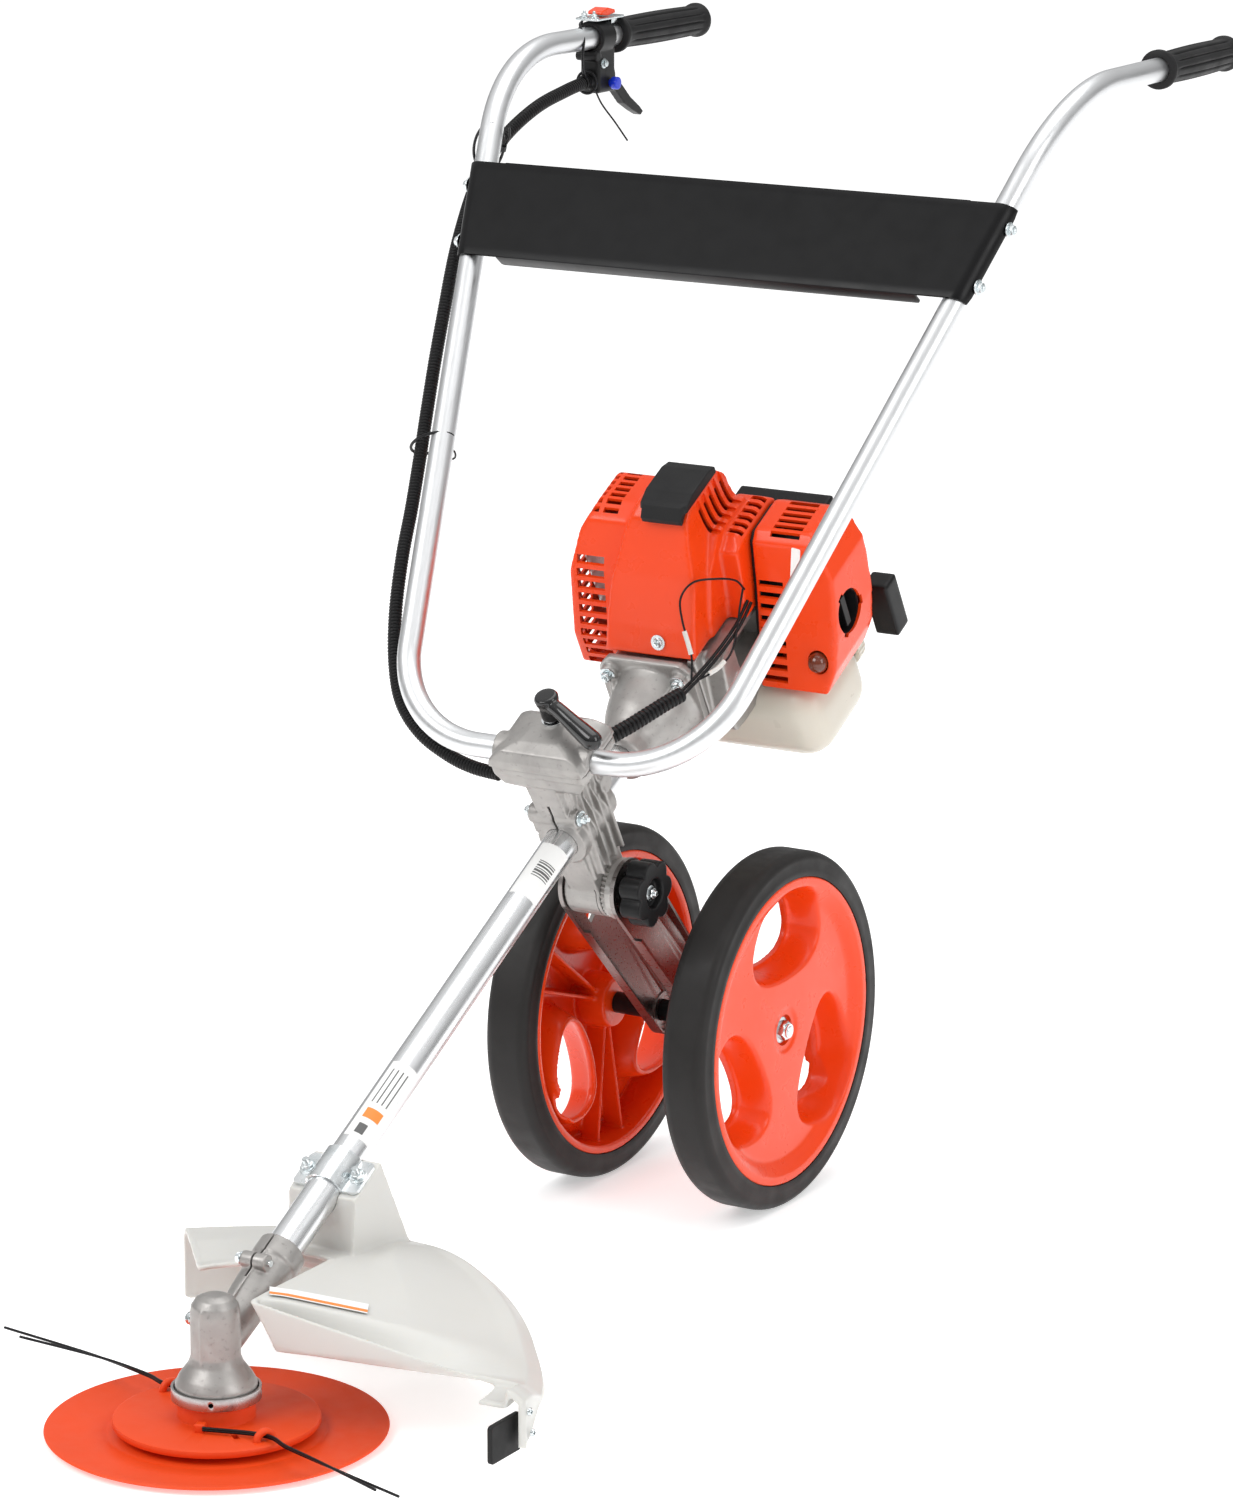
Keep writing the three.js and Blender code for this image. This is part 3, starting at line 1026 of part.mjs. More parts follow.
function addAirCleaner() {
  const skin = common(
    slab(AIR_PROFILE, 'x', COVER_LEFT_X + 4, 142),
    slab(AIR_FRONT, 'y', 180, 340));
  const hollow = common(
    slab(inset(AIR_PROFILE, COVER_WALL), 'x', COVER_LEFT_X, 142 - COVER_WALL),
    slab(inset(AIR_FRONT, COVER_WALL).map(([x, v]) => [x < 75 ? COVER_LEFT_X - 5 : x, v]), 'y', 180, 340));
  const vents = Array.from({ length: 5 }, (_, i) => block([88, 116], [272 + i * 8, 276 + i * 8], [100, 120]));
  const louvres = Array.from({ length: 5 }, (_, i) => (
    block([74, 86], [200, 262], [6 + i * 15, 13 + i * 15])
  ));
  const well = disc(19, 130, 150, 'x', 24).translate(0, CHOKE_U, CHOKE_V);
  const cup = ring(17.6, 20.4, 126, 139, 'x', 24).translate(0, CHOKE_U, CHOKE_V);
  const bulbHole = disc(9.4, 190, 240, 'y', 16).translate(124, 0, 12);
  const body = cut(skin, hollow, ...vents, ...louvres, well, bulbHole);
  add(shaftLine, 'air_cleaner_cover', join(body, cup), ORANGE);

  const hub = disc(15.5, 122, 132, 'x', 20);
  const lever = block([131, 138], [-4, 4], [-14, 14]);
  const spindle = disc(3, 96, 124, 'x', 10);
  add(shaftLine, 'choke_knob', at(join(hub, lever, spindle), 0, CHOKE_U, CHOKE_V), BLACK);
  const bulb = new THREE.SphereGeometry(8.6, 12, 8).scale(1, 0.9, 1).translate(124, 227, 12);
  add(shaftLine, 'primer_bulb', bulb, AMBER);
  const carburettor = join(
    block([34, 62], [248, 276], [50, 84]),
    disc(11, 24.5, 36, 'x', 16).translate(0, 262, 68));
  add(shaftLine, 'carburettor', carburettor, CAST);
}

const TANK = { x: [-88, 118], u: [206, 304], v: [-88, -20] };
const TANK_ROUND = 27;
const CAP_X = 88;
const CAP_U = 307;
const CAP_V = -50;
const STARTER_RADIUS = 64;

function roundedBox([x0, x1], [y0, y1], [z0, z1], r) {
  const shape = new THREE.Shape();
  shape.absarc(x1 - r, z1 - r, r, 0, Math.PI / 2, false);
  shape.absarc(x0 + r, z1 - r, r, Math.PI / 2, Math.PI, false);
  shape.absarc(x0 + r, z0 + r, r, Math.PI, Math.PI * 1.5, false);
  shape.absarc(x1 - r, z0 + r, r, Math.PI * 1.5, Math.PI * 2, false);
  shape.closePath();
  const side = new THREE.Shape();
  side.absarc(y1 - r, z1 - r, r, 0, Math.PI / 2, false);
  side.absarc(y0 + r, z1 - r, r, Math.PI / 2, Math.PI, false);
  side.absarc(y0 + r, z0 + r, r, Math.PI, Math.PI * 1.5, false);
  side.absarc(y1 - r, z0 + r, r, Math.PI * 1.5, Math.PI * 2, false);
  side.closePath();
  const options = { bevelEnabled: false, curveSegments: 4 };
  const across = new THREE.ExtrudeGeometry(shape, { ...options, depth: y1 - y0 });
  const along = new THREE.ExtrudeGeometry(side, { ...options, depth: x1 - x0 });
  return common(
    across.translate(0, 0, -y1).applyMatrix4(PLANES.y),
    along.translate(0, 0, x0).applyMatrix4(PLANES.x));
}

function addTank() {
  const wall = 3;
  const shrink = ([a, b]) => [a + wall, b - wall];
  const outer = roundedBox(TANK.x, TANK.u, TANK.v, TANK_ROUND);
  const inner = roundedBox(shrink(TANK.x), shrink(TANK.u), shrink(TANK.v), TANK_ROUND - wall);
  const caseSeat = block([-40, 40], [180, 330], [-39, 20]);
  const starterSeat = disc(STARTER_RADIUS + 2.5, 258, 340, 'y', 32);
  const caseRoom = block([-43, 43], [180, 340], [-42, 20]);
  const starterRoom = disc(STARTER_RADIUS + 5.5, 250, 350, 'y', 32);
  const airSeat = block([COVER_LEFT_X + 1, 150], [200, 330], [-16.5, 20]);
  const neck = at(disc(13, TANK.u[1] - 6, CAP_U + 3, 'y', 20), CAP_X, 0, CAP_V);
  const room = cut(inner, caseRoom, starterRoom, block([COVER_LEFT_X - 2, 150], [200, 330], [-20, 20]));
  const shell = cut(cut(outer, caseSeat, starterSeat, airSeat), room);
  const filler = at(disc(10.5, TANK.u[1] - 20, CAP_U + 10, 'y', 20), CAP_X, 0, CAP_V);
  add(shaftLine, 'fuel_tank', cut(join(shell, neck), filler), TANK_WHITE);
  const cap = cut(
    disc(18, CAP_U + 3.4, CAP_U + 17, 'y', 24), disc(13.5, CAP_U, CAP_U + 4, 'y', 20));
  add(shaftLine, 'fuel_cap', at(cap, CAP_X, 0, CAP_V), TANK_WHITE);
}

function addStarter() {
  const cup = turned([
    [0, 344], [30, 344], [54, 338], [STARTER_RADIUS, 326], [STARTER_RADIUS, 303], [STARTER_RADIUS - 3, 303],
    [STARTER_RADIUS - 3, 324], [52, 334], [30, 340], [0, 340],
  ], 'y', 28);
  const shoulder = block([20, 106], [319, 337], [44, 96]);
  const guide = block([50, 92], [312, 332], [-14, 8]);
  const inside = turned([[0, 302], [STARTER_RADIUS - 3, 302], [STARTER_RADIUS - 3, 324], [52, 334], [0, 338]], 'y', 28);
  const ropeHole = disc(3, 40, 110, 'x', 10).translate(0, 322, -3);
  add(shaftLine, 'recoil_housing', cut(join(cup, shoulder, guide), inside, ropeHole), BLACK);
  const rope = disc(2, 66, 126, 'x', 10);
  const tee = roundedBox([124, 148], [-12, 12], [-26, 26], 9);
  add(shaftLine, 'starter_handle', at(join(rope, tee), 0, 322, -3), BLACK);
}

addPipe();
addGearCase();
addHeadGears();
addCollar();
addCutter();
addSkidDisc();
addLines();
addGuard();
addGuardClamp();
addGuardFlap();
addBracket();
addPipeClampBolt();
addHandleClamp();
addClampLever();
addArms();
addSerratedRing();
addPivotBolt();
addHeightKnob();
addAxle();
addWheels();
addHandlebar();
addPanel();
addThrottle();
addSleeves();
addClutch();
addCrank();
addCrankcase();
addCylinder();
addEngineCover();
addMuffler();
addAirCleaner();
addTank();
addStarter();

export default machine;
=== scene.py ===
import bmesh
import bpy
import json
import math
from mathutils import Matrix, Vector

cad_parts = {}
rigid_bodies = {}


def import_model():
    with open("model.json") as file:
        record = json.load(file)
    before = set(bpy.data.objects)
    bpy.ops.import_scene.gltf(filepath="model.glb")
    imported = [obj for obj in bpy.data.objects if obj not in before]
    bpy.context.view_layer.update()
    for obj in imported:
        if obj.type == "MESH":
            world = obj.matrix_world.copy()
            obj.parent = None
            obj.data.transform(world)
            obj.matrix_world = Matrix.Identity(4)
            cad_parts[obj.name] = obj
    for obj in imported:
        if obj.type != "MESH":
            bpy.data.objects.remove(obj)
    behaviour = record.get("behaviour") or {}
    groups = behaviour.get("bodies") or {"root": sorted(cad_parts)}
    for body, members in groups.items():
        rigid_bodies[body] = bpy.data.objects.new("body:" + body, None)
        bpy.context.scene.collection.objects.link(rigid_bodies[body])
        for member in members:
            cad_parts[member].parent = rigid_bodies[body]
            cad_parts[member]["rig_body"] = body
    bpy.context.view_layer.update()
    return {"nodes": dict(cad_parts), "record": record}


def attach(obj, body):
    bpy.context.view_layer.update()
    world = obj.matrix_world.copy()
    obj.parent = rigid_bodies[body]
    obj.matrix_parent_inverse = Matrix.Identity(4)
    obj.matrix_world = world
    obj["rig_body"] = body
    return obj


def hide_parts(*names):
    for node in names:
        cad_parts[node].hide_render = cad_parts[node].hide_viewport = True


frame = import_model()
bpy.context.scene.view_settings.view_transform = "Standard"

NODES = frame["nodes"]
BODY_OF = {name: node["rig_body"] for name, node in NODES.items()}
SLOT_OF = {part["node"]: part["material_slot"] for part in frame["record"]["subparts"]}
JOINTS = {joint["name"]: joint for joint in frame["record"]["behaviour"]["joints"]}
DONE = set()


# ---------------------------------------------------------------- local frames, all in millimetres
def local_frame(origin, forward):
    """A frame whose X is the machine's left and whose Y runs forward, from metres to millimetres."""
    side = Vector((1, 0, 0))
    ahead = Vector(forward).normalized()
    turn = Matrix((side, ahead, side.cross(ahead))).transposed().to_4x4()
    return Matrix.Translation(Vector(origin)) @ turn @ Matrix.Scale(0.001, 4)


BAR_SLOPE = math.radians(53.6)
SHAFT = local_frame(JOINTS["crank_spin"]["pos_m"], JOINTS["crank_spin"]["axis"])
HEAD = local_frame(JOINTS["drive_spin"]["pos_m"], JOINTS["drive_spin"]["axis"])
MACHINE = Matrix.Scale(0.001, 4)
BARS = local_frame(JOINTS["handlebar_tilt"]["pos_m"], (0, math.cos(BAR_SLOPE), math.sin(BAR_SLOPE)))
PIVOT = Vector(JOINTS["wheel_height"]["pos_m"])
AXLE = Vector(JOINTS["wheel_left_spin"]["pos_m"])
ARM = local_frame(PIVOT, AXLE - PIVOT)
ARM_LENGTH = (AXLE - PIVOT).length * 1000
PIVOT_U, PIVOT_V = (SHAFT.inverted() @ PIVOT).yz
AXLE_BORE = 6.3


# ---------------------------------------------------------------- materials
class Mat:
    """A Principled material built step by step. Colours are linear."""

    def __init__(self, name, color, roughness, metallic=0.0):
        self.mat = bpy.data.materials.new(name)
        self.mat.use_nodes = True
        self.nodes = self.mat.node_tree.nodes
        self.links = self.mat.node_tree.links
        self.shader = self.nodes["Principled BSDF"]
        self.color = color
        self.roughness = roughness
        self.set("Base Color", (*color, 1))
        self.set("Roughness", roughness)
        self.set("Metallic", metallic)
        self.coord = self.nodes.new("ShaderNodeTexCoord").outputs["Object"]
        self.height = None

    def set(self, socket, value):
        self.shader.inputs[socket].default_value = value
        return self

    def noise(self, scale, detail=4.0, stretch=(1, 1, 1)):
        mapping = self.nodes.new("ShaderNodeMapping")
        mapping.inputs["Scale"].default_value = stretch
        self.links.new(self.coord, mapping.inputs["Vector"])
        noise = self.nodes.new("ShaderNodeTexNoise")
        noise.inputs["Scale"].default_value = scale
        noise.inputs["Detail"].default_value = detail
        self.links.new(mapping.outputs["Vector"], noise.inputs["Vector"])
        return noise.outputs["Fac"]

    def spread(self, value, low, high, to_low=0.0, to_high=1.0):
        node = self.nodes.new("ShaderNodeMapRange")
        limits = {"From Min": low, "From Max": high, "To Min": to_low, "To Max": to_high}
        for name, number in limits.items():
            node.inputs[name].default_value = number
        self.links.new(value, node.inputs["Value"])
        return node.outputs["Result"]

    def tint(self, factor, other):
        """Blends the colour so far towards another by a 0 to 1 factor."""
        mix = self.nodes.new("ShaderNodeMix")
        mix.data_type = "RGBA"
        mix.inputs[7].default_value = (*other, 1)
        socket = self.shader.inputs["Base Color"]
        if socket.is_linked:
            self.links.new(socket.links[0].from_socket, mix.inputs[6])
        else:
            mix.inputs[6].default_value = (*self.color, 1)
        self.links.new(factor, mix.inputs[0])
        self.links.new(mix.outputs[2], socket)
        return self

    def rough(self, value, amount):
        """Roughness varies by amount each way with a noise value."""
        out = self.spread(value, 0.3, 0.7, self.roughness - amount, self.roughness + amount)
        self.links.new(out, self.shader.inputs["Roughness"])
        return self

    def bump(self, value, distance, strength=1.0):
        bump = self.nodes.new("ShaderNodeBump")
        bump.inputs["Distance"].default_value = distance
        bump.inputs["Strength"].default_value = strength
        self.links.new(value, bump.inputs["Height"])
        if self.height is not None:
            self.links.new(self.height, bump.inputs["Normal"])
        self.height = bump.outputs["Normal"]
        self.links.new(self.height, self.shader.inputs["Normal"])
        return self

    def edges(self, color, amount):
        """Paints a highlight on sharp outside edges: blends the colour towards another, paler one there."""
        geometry = self.nodes.new("ShaderNodeNewGeometry")
        painted_edge_highlight = self.spread(geometry.outputs["Pointiness"], 0.52, 0.62, 0.0, amount)
        return self.tint(painted_edge_highlight, color)


def darker(color, share):
    return tuple(part * share for part in color)


def moulded(name, color, roughness, grain=0.00004, coat=0.0, drift=0.84):
    """Injection-moulded plastic: fine grain, slow colour drift and a painted highlight on its edges."""
    m = Mat(name, color, roughness)
    m.tint(m.spread(m.noise(9.0, 3.0), 0.35, 0.65, 0.0, 0.4), darker(color, drift))
    m.rough(m.noise(60.0, 5.0), 0.05)
    m.bump(m.noise(900.0, 3.0), grain, 0.3)
    m.bump(m.noise(22.0, 2.0), 0.0003, 0.08)
    # painted highlight: sharp outside edges blended towards a paler colour
    m.edges(tuple(min(1.0, part * 1.25 + 0.006) for part in color), 0.4)
    m.set("Specular IOR Level", 0.3 if max(color) > 0.05 else 0.2)
    m.set("Coat Weight", coat)
    m.set("Coat Roughness", 0.1)
    return m


def satin(name, color, roughness, stretch, metallic=1.0):
    """Drawn metal: long fine lines along the piece and faint handling marks."""
    m = Mat(name, color, roughness, metallic)
    m.tint(m.spread(m.noise(7.0, 4.0), 0.35, 0.7, 0.0, 0.4), darker(color, 0.88))
    lines = m.noise(500.0, 2.0, stretch)
    m.rough(lines, 0.04)
    m.bump(lines, 0.00002, 0.2)
    return m


def cast(name, color, roughness, metallic=0.7):
    """Cast metal: a pebbled skin with darker hollows."""
    m = Mat(name, color, roughness, metallic)
    m.tint(m.spread(m.noise(40.0, 6.0), 0.42, 0.7, 0.0, 0.55), darker(color, 0.7))
    m.tint(m.spread(m.noise(260.0, 4.0), 0.6, 0.72, 0.0, 0.5), darker(color, 0.55))
    m.rough(m.noise(150.0, 4.0), 0.08)
    m.bump(m.noise(520.0, 4.0), 0.00022, 0.35)
    # painted highlight: sharp outside edges blended towards a paler colour
    m.edges(tuple(min(1.0, part * 1.3) for part in color), 0.6)
    return m


def plated(name, color, roughness, shade=(0.34, 0.42, 0.44)):
    """Zinc plate: cloudy bright patches."""
    m = Mat(name, color, roughness, 1.0)
    m.tint(m.spread(m.noise(70.0, 5.0), 0.42, 0.62, 0.0, 0.75), shade)
    m.rough(m.noise(90.0, 4.0), 0.1)
    m.bump(m.noise(300.0, 3.0), 0.00006, 0.3)
    # painted highlight: sharp outside edges blended towards near white
    m.edges((0.95, 0.96, 0.97), 0.5)
    return m


def rubber(name, color, roughness, dust=0.06):
    """Rubber: matt, fine-pored, with pale dust in places."""
    m = Mat(name, color, roughness)
    m.set("Specular IOR Level", 0.25)
    m.tint(m.spread(m.noise(14.0, 6.0), 0.5, 0.8, 0.0, 0.35), (dust, dust * 0.95, dust * 0.92))
    m.rough(m.noise(45.0, 4.0), 0.08)
    m.bump(m.noise(700.0, 4.0), 0.00012, 0.4)
    m.bump(m.noise(60.0, 3.0), 0.0004, 0.12)
    return m


def hazy(name, color, roughness, depth):
    """Unpigmented plastic that light sinks into."""
    m = moulded(name, color, roughness, coat=0.15, drift=0.9)
    m.set("Subsurface Weight", 0.35)
    m.set("Subsurface Radius", (depth, depth * 0.9, depth * 0.75))
    m.set("Subsurface Scale", 1.0)
    return m


MATERIALS = {
    "orange_plastic": moulded("orange_plastic", (0.85, 0.056, 0.004), 0.3, coat=0.2, drift=0.93),
    "tyre_rubber": rubber("tyre_rubber", (0.017, 0.0155, 0.015), 0.5, 0.045),
    "aluminium_tube": satin("aluminium_tube", (0.76, 0.77, 0.78), 0.36, (1, 0.04, 0.06)),
    "cast_aluminium": cast("cast_aluminium", (0.40, 0.385, 0.37), 0.44),
    "steel": satin("steel", (0.50, 0.49, 0.485), 0.3, (0.2, 1, 1)),
    "zinc_plated": plated("zinc_plated", (0.72, 0.76, 0.77), 0.24),
    "black_plastic": moulded("black_plastic", (0.009, 0.009, 0.0095), 0.36),
    "black_rubber": rubber("black_rubber", (0.011, 0.011, 0.0115), 0.55, 0.03),
    "painted_panel": moulded("painted_panel", (0.004, 0.004, 0.0045), 0.34, 0.00006),
    "guard_plastic": hazy("guard_plastic", (0.67, 0.665, 0.635), 0.34, 0.002),
    "tank_plastic": hazy("tank_plastic", (0.64, 0.60, 0.52), 0.32, 0.006),
    "blue_plastic": moulded("blue_plastic", (0.006, 0.03, 0.55), 0.3, coat=0.3),
    "amber_plastic": moulded("amber_plastic", (0.13, 0.022, 0.006), 0.12, coat=0.8),
}
FINISHES = {slot: m.mat for slot, m in MATERIALS.items()}
FINISHES["matt_orange"] = moulded("matt_orange", (0.82, 0.068, 0.008), 0.46, 0.00008).mat
FINISHES["lever_black"] = moulded("lever_black", (0.006, 0.006, 0.0065), 0.12, coat=0.8).mat
FINISHES["wire_black"] = moulded("wire_black", (0.008, 0.008, 0.009), 0.3).mat
FINISHES["paper"] = moulded("paper", (0.83, 0.83, 0.81), 0.45, 0.00002, drift=0.95).mat
FINISHES["print_grey"] = moulded("print_grey", (0.12, 0.12, 0.12), 0.5, 0.00002).mat
FINISHES["print_orange"] = moulded("print_orange", (0.85, 0.25, 0.05), 0.45, 0.00002).mat
FINISHES["arm_steel"] = satin("arm_steel", (0.30, 0.275, 0.265), 0.3, (0.3, 1, 1)).mat
FINISHES["bright_tube"] = satin("bright_tube", (0.82, 0.83, 0.84), 0.28, (1, 0.03, 0.05)).mat


# ---------------------------------------------------------------- mesh shapes
def mesh_of(verts, faces):
    """A closed mesh with its faces pointing out."""
    mesh = bpy.data.meshes.new("shape")
    mesh.from_pydata([tuple(v) for v in verts], [], faces)
    work = bmesh.new()
    work.from_mesh(mesh)
    bmesh.ops.recalc_face_normals(work, faces=work.faces)
    work.to_mesh(mesh)
    work.free()
    return mesh


TURNS = {
    "x": lambda r, h, c, s: (h, r * c, r * s),
    "y": lambda r, h, c, s: (r * s, h, r * c),
    "z": lambda r, h, c, s: (r * c, r * s, h),
}
LAYS = {
    "x": lambda a, b, h: (h, a, b),
    "y": lambda a, b, h: (a, h, b),
    "z": lambda a, b, h: (a, b, h),
}


def lathe(profile, axis, segments=64, radius_at=None):
    """A profile of (radius, height) points turned about an axis. It ends on the axis, or closes."""
    loop = profile[0] == profile[-1]
    points = profile[:-1] if loop else profile
    verts = []
    rows = []
    for r, h in points:
        if r < 1e-6:
            rows.append([len(verts)] * segments)
            verts.append(TURNS[axis](0, h, 1, 0))
            continue
        rows.append(list(range(len(verts), len(verts) + segments)))
        for k in range(segments):
            angle = 2 * math.pi * k / segments
            reach = radius_at(r, h, angle) if radius_at else r
            verts.append(TURNS[axis](reach, h, math.cos(angle), math.sin(angle)))
    faces = []
    last = len(rows) if loop else len(rows) - 1
    for i in range(last):
        low, high = rows[i], rows[(i + 1) % len(rows)]
        for k in range(segments):
            j = (k + 1) % segments
            corners = [low[k], low[j], high[j], high[k]]
            face = list(dict.fromkeys(corners))
            if len(face) > 2:
                faces.append(face)
    return mesh_of(verts, faces)


def disc(radius, low, high, axis, segments=40):
    return lathe([(0, low), (radius, low), (radius, high), (0, high)], axis, segments)


def ring(inner, outer, low, high, axis, segments=64):
    return lathe([(inner, low), (outer, low), (outer, high), (inner, high), (inner, low)], axis, segments)


def prism(points, axis, low, high):
    """A flat outline pushed along an axis. Across x it is (y, z), across y (x, z), across z (x, y)."""
    count = len(points)
    verts = [LAYS[axis](a, b, h) for h in (low, high) for a, b in points]
    faces = [list(range(count)), list(range(2 * count - 1, count - 1, -1))]
    for k in range(count):
        j = (k + 1) % count
        faces.append([k, j, count + j, count + k])
    return mesh_of(verts, faces)


def block(x, y, z):
    return prism([(x[0], y[0]), (x[1], y[0]), (x[1], y[1]), (x[0], y[1])], "z", z[0], z[1])


def polygon(radius, sides, turn=0.0):
    steps = [2 * math.pi * k / sides + turn for k in range(sides)]
    return [(radius * math.cos(a), radius * math.sin(a)) for a in steps]


def rounded_outline(points, radius, steps=5):
    """The corners of an outline replaced by arcs."""
    out = []
    count = len(points)
    for k in range(count):
        here = Vector(points[k])
        back = (Vector(points[k - 1]) - here).normalized()
        ahead = (Vector(points[(k + 1) % count]) - here).normalized()
        half = back.angle(ahead) / 2
        reach = radius / math.tan(half)
        centre = here + (back + ahead).normalized() * radius / math.sin(half)
        start = here + back * reach - centre
        end = here + ahead * reach - centre
        for i in range(steps + 1):
            spoke = start.lerp(end, i / steps).normalized() * radius
            out.append(tuple(centre + spoke))
    return out


def spline(points, step):
    """Points evenly spaced by about one step along a smooth curve through chosen points."""
    marks = [Vector(p) for p in points]
    marks = [2 * marks[0] - marks[1], *marks, 2 * marks[-1] - marks[-2]]
    fine = []
    for k in range(1, len(marks) - 2):
        a, b, c, d = marks[k - 1:k + 3]
        for i in range(12):
            t = i / 12
            fine.append(0.5 * (2 * b + (c - a) * t + (2 * a - 5 * b + 4 * c - d) * t ** 2
                               + (3 * b - a - 3 * c + d) * t ** 3))
    fine.append(marks[-2])
    return even(fine, step)


def even(points, step):
    lengths = [0.0]
    for a, b in zip(points, points[1:]):
        lengths.append(lengths[-1] + (b - a).length)
    count = max(2, round(lengths[-1] / step))
    out = []
    k = 0
    for i in range(count + 1):
        want = lengths[-1] * i / count
        while k < len(points) - 2 and lengths[k + 1] < want:
            k += 1
        span = lengths[k + 1] - lengths[k] or 1.0
        out.append(points[k].lerp(points[k + 1], (want - lengths[k]) / span))
    return out


def skinned(sections):
    """Sections that run out and back along a sheet, joined one to the next and closed at both ends."""
    count = len(sections[0])
    verts = [v for section in sections for v in section]
    faces = []
    for i in range(len(sections) - 1):
        for k in range(count):
            j = (k + 1) % count
            faces.append([i * count + k, i * count + j, (i + 1) * count + j, (i + 1) * count + k])
    last = (len(sections) - 1) * count
    for start in (0, last):
        for k in range(count // 2 - 1):
            far = count - 1 - k
            faces.append([start + k, start + k + 1, start + far - 1, start + far])
    return mesh_of(verts, faces)


def tube(points, radius, sides=16, closed=False):
    """A round section swept along points. The radius may be a function of the point's number."""
    points = [Vector(p) for p in points]
    count = len(points)
    verts = []
    normal = None
    for i, point in enumerate(points):
        ahead = points[(i + 1) % count] if closed or i < count - 1 else point
        behind = points[i - 1] if closed or i > 0 else point
        tangent = (ahead - behind).normalized()
        if normal is None:
            normal = tangent.orthogonal().normalized()
        normal = (normal - tangent * normal.dot(tangent)).normalized()
        across = tangent.cross(normal)
        reach = radius(i) if callable(radius) else radius
        for k in range(sides):
            angle = 2 * math.pi * k / sides
            verts.append(point + (normal * math.cos(angle) + across * math.sin(angle)) * reach)
    faces = []
    for i in range(count if closed else count - 1):
        for k in range(sides):
            j = (k + 1) % sides
            low, high = i * sides, ((i + 1) % count) * sides
            faces.append([low + k, low + j, high + j, high + k])
    if not closed:
        faces.append(list(range(sides)))
        faces.append(list(range((count - 1) * sides, count * sides)))
    return mesh_of(verts, faces)


def ball(radius, centre=(0, 0, 0), scale=(1, 1, 1), segments=32):
    half = segments // 2
    angles = [math.pi * k / half for k in range(half + 1)]
    profile = [(radius * math.sin(angle), -radius * math.cos(angle)) for angle in angles]
    profile[0] = (0, -radius)
    profile[-1] = (0, radius)
    mesh = lathe(profile, "z", segments)
    mesh.transform(Matrix.Translation(centre) @ Matrix.Diagonal((*scale, 1)))
    return mesh


def moved(mesh, x=0, y=0, z=0):
    copy = mesh.copy()
    copy.transform(Matrix.Translation((x, y, z)))
    return copy


def turned(mesh, degrees, axis):
    copy = mesh.copy()
    copy.transform(Matrix.Rotation(math.radians(degrees), 4, axis.upper()))
    return copy


def merged(*meshes):
    work = bmesh.new()
    for mesh in meshes:
        work.from_mesh(mesh)
    out = bpy.data.meshes.new("merged")
    work.to_mesh(out)
    work.free()
    return out


def with_modifiers(mesh, *steps):
    """The mesh after modifiers. Each step is (type, settings)."""
    holder = bpy.data.objects.new("holder", mesh)
    bpy.context.scene.collection.objects.link(holder)
    for kind, settings in steps:
        modifier = holder.modifiers.new(kind, kind)
        for name, value in settings.items():
            setattr(modifier, name, value)
    bpy.context.view_layer.update()
    graph = bpy.context.evaluated_depsgraph_get()
    out = bpy.data.meshes.new_from_object(holder.evaluated_get(graph))
    bpy.data.objects.remove(holder)
    return out


def boolean(mesh, tools, operation):
    holders = []
    for tool in tools:
        holder = bpy.data.objects.new("tool", tool)
        bpy.context.scene.collection.objects.link(holder)
        holders.append(holder)
    steps = [("BOOLEAN", {"object": h, "operation": operation, "solver": "MANIFOLD"}) for h in holders]
    out = with_modifiers(mesh, *steps)
    for holder in holders:
        bpy.data.objects.remove(holder)
    return out


def fuse(mesh, *tools):
    return boolean(mesh, tools, "UNION")


def carve(mesh, *tools):
    return boolean(mesh, tools, "DIFFERENCE")


def clip(mesh, *tools):
    return boolean(mesh, tools, "INTERSECT")


def soft(mesh, voxel, rounds, keep=0.5):
    """The mesh rebuilt as one skin with its edges and inner corners rounded off."""
    return with_modifiers(
        mesh,
        ("REMESH", {"mode": "VOXEL", "voxel_size": voxel}),
        ("SMOOTH", {"factor": 0.5, "iterations": rounds}),
        ("DECIMATE", {"ratio": keep}))


def bevelled(mesh, width, segments=3, angle=30.0):
    return with_modifiers(mesh, ("BEVEL", {
        "width": width, "segments": segments, "limit_method": "ANGLE",
        "angle_limit": math.radians(angle), "harden_normals": False}))


def shade(mesh, angle):
    """Smooth faces, with edges sharper than the angle kept sharp."""
    work = bmesh.new()
    work.from_mesh(mesh)
    for face in work.faces:
        face.smooth = True
    for edge in work.edges:
        edge.smooth = len(edge.link_faces) == 2 and edge.calc_face_angle() < math.radians(angle)
    work.to_mesh(mesh)
    work.free()


def show(name, body, slot, place, mesh, stands_for=(), finish=None, angle=38.0):
    """Puts a finished mesh, in millimetres in a local frame, into the scene on its body."""
    mesh = mesh.copy()
    mesh.transform(place)
    mesh.name = name
    shade(mesh, angle)
    mesh.materials.clear()
    mesh.materials.append(FINISHES[finish or slot])
    piece = bpy.data.objects.new(name, mesh)
    bpy.context.scene.collection.objects.link(piece)
    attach(piece, body)
    if stands_for:
        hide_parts(*stands_for)
        DONE.update(stands_for)
    return piece


def renew(node, place, mesh, finish=None, angle=38.0):
    """A finished mesh that stands for one CAD node, on its body and in its slot."""
    return show(node + "_skin", BODY_OF[node], SLOT_OF[node], place, mesh, [node], finish, angle)


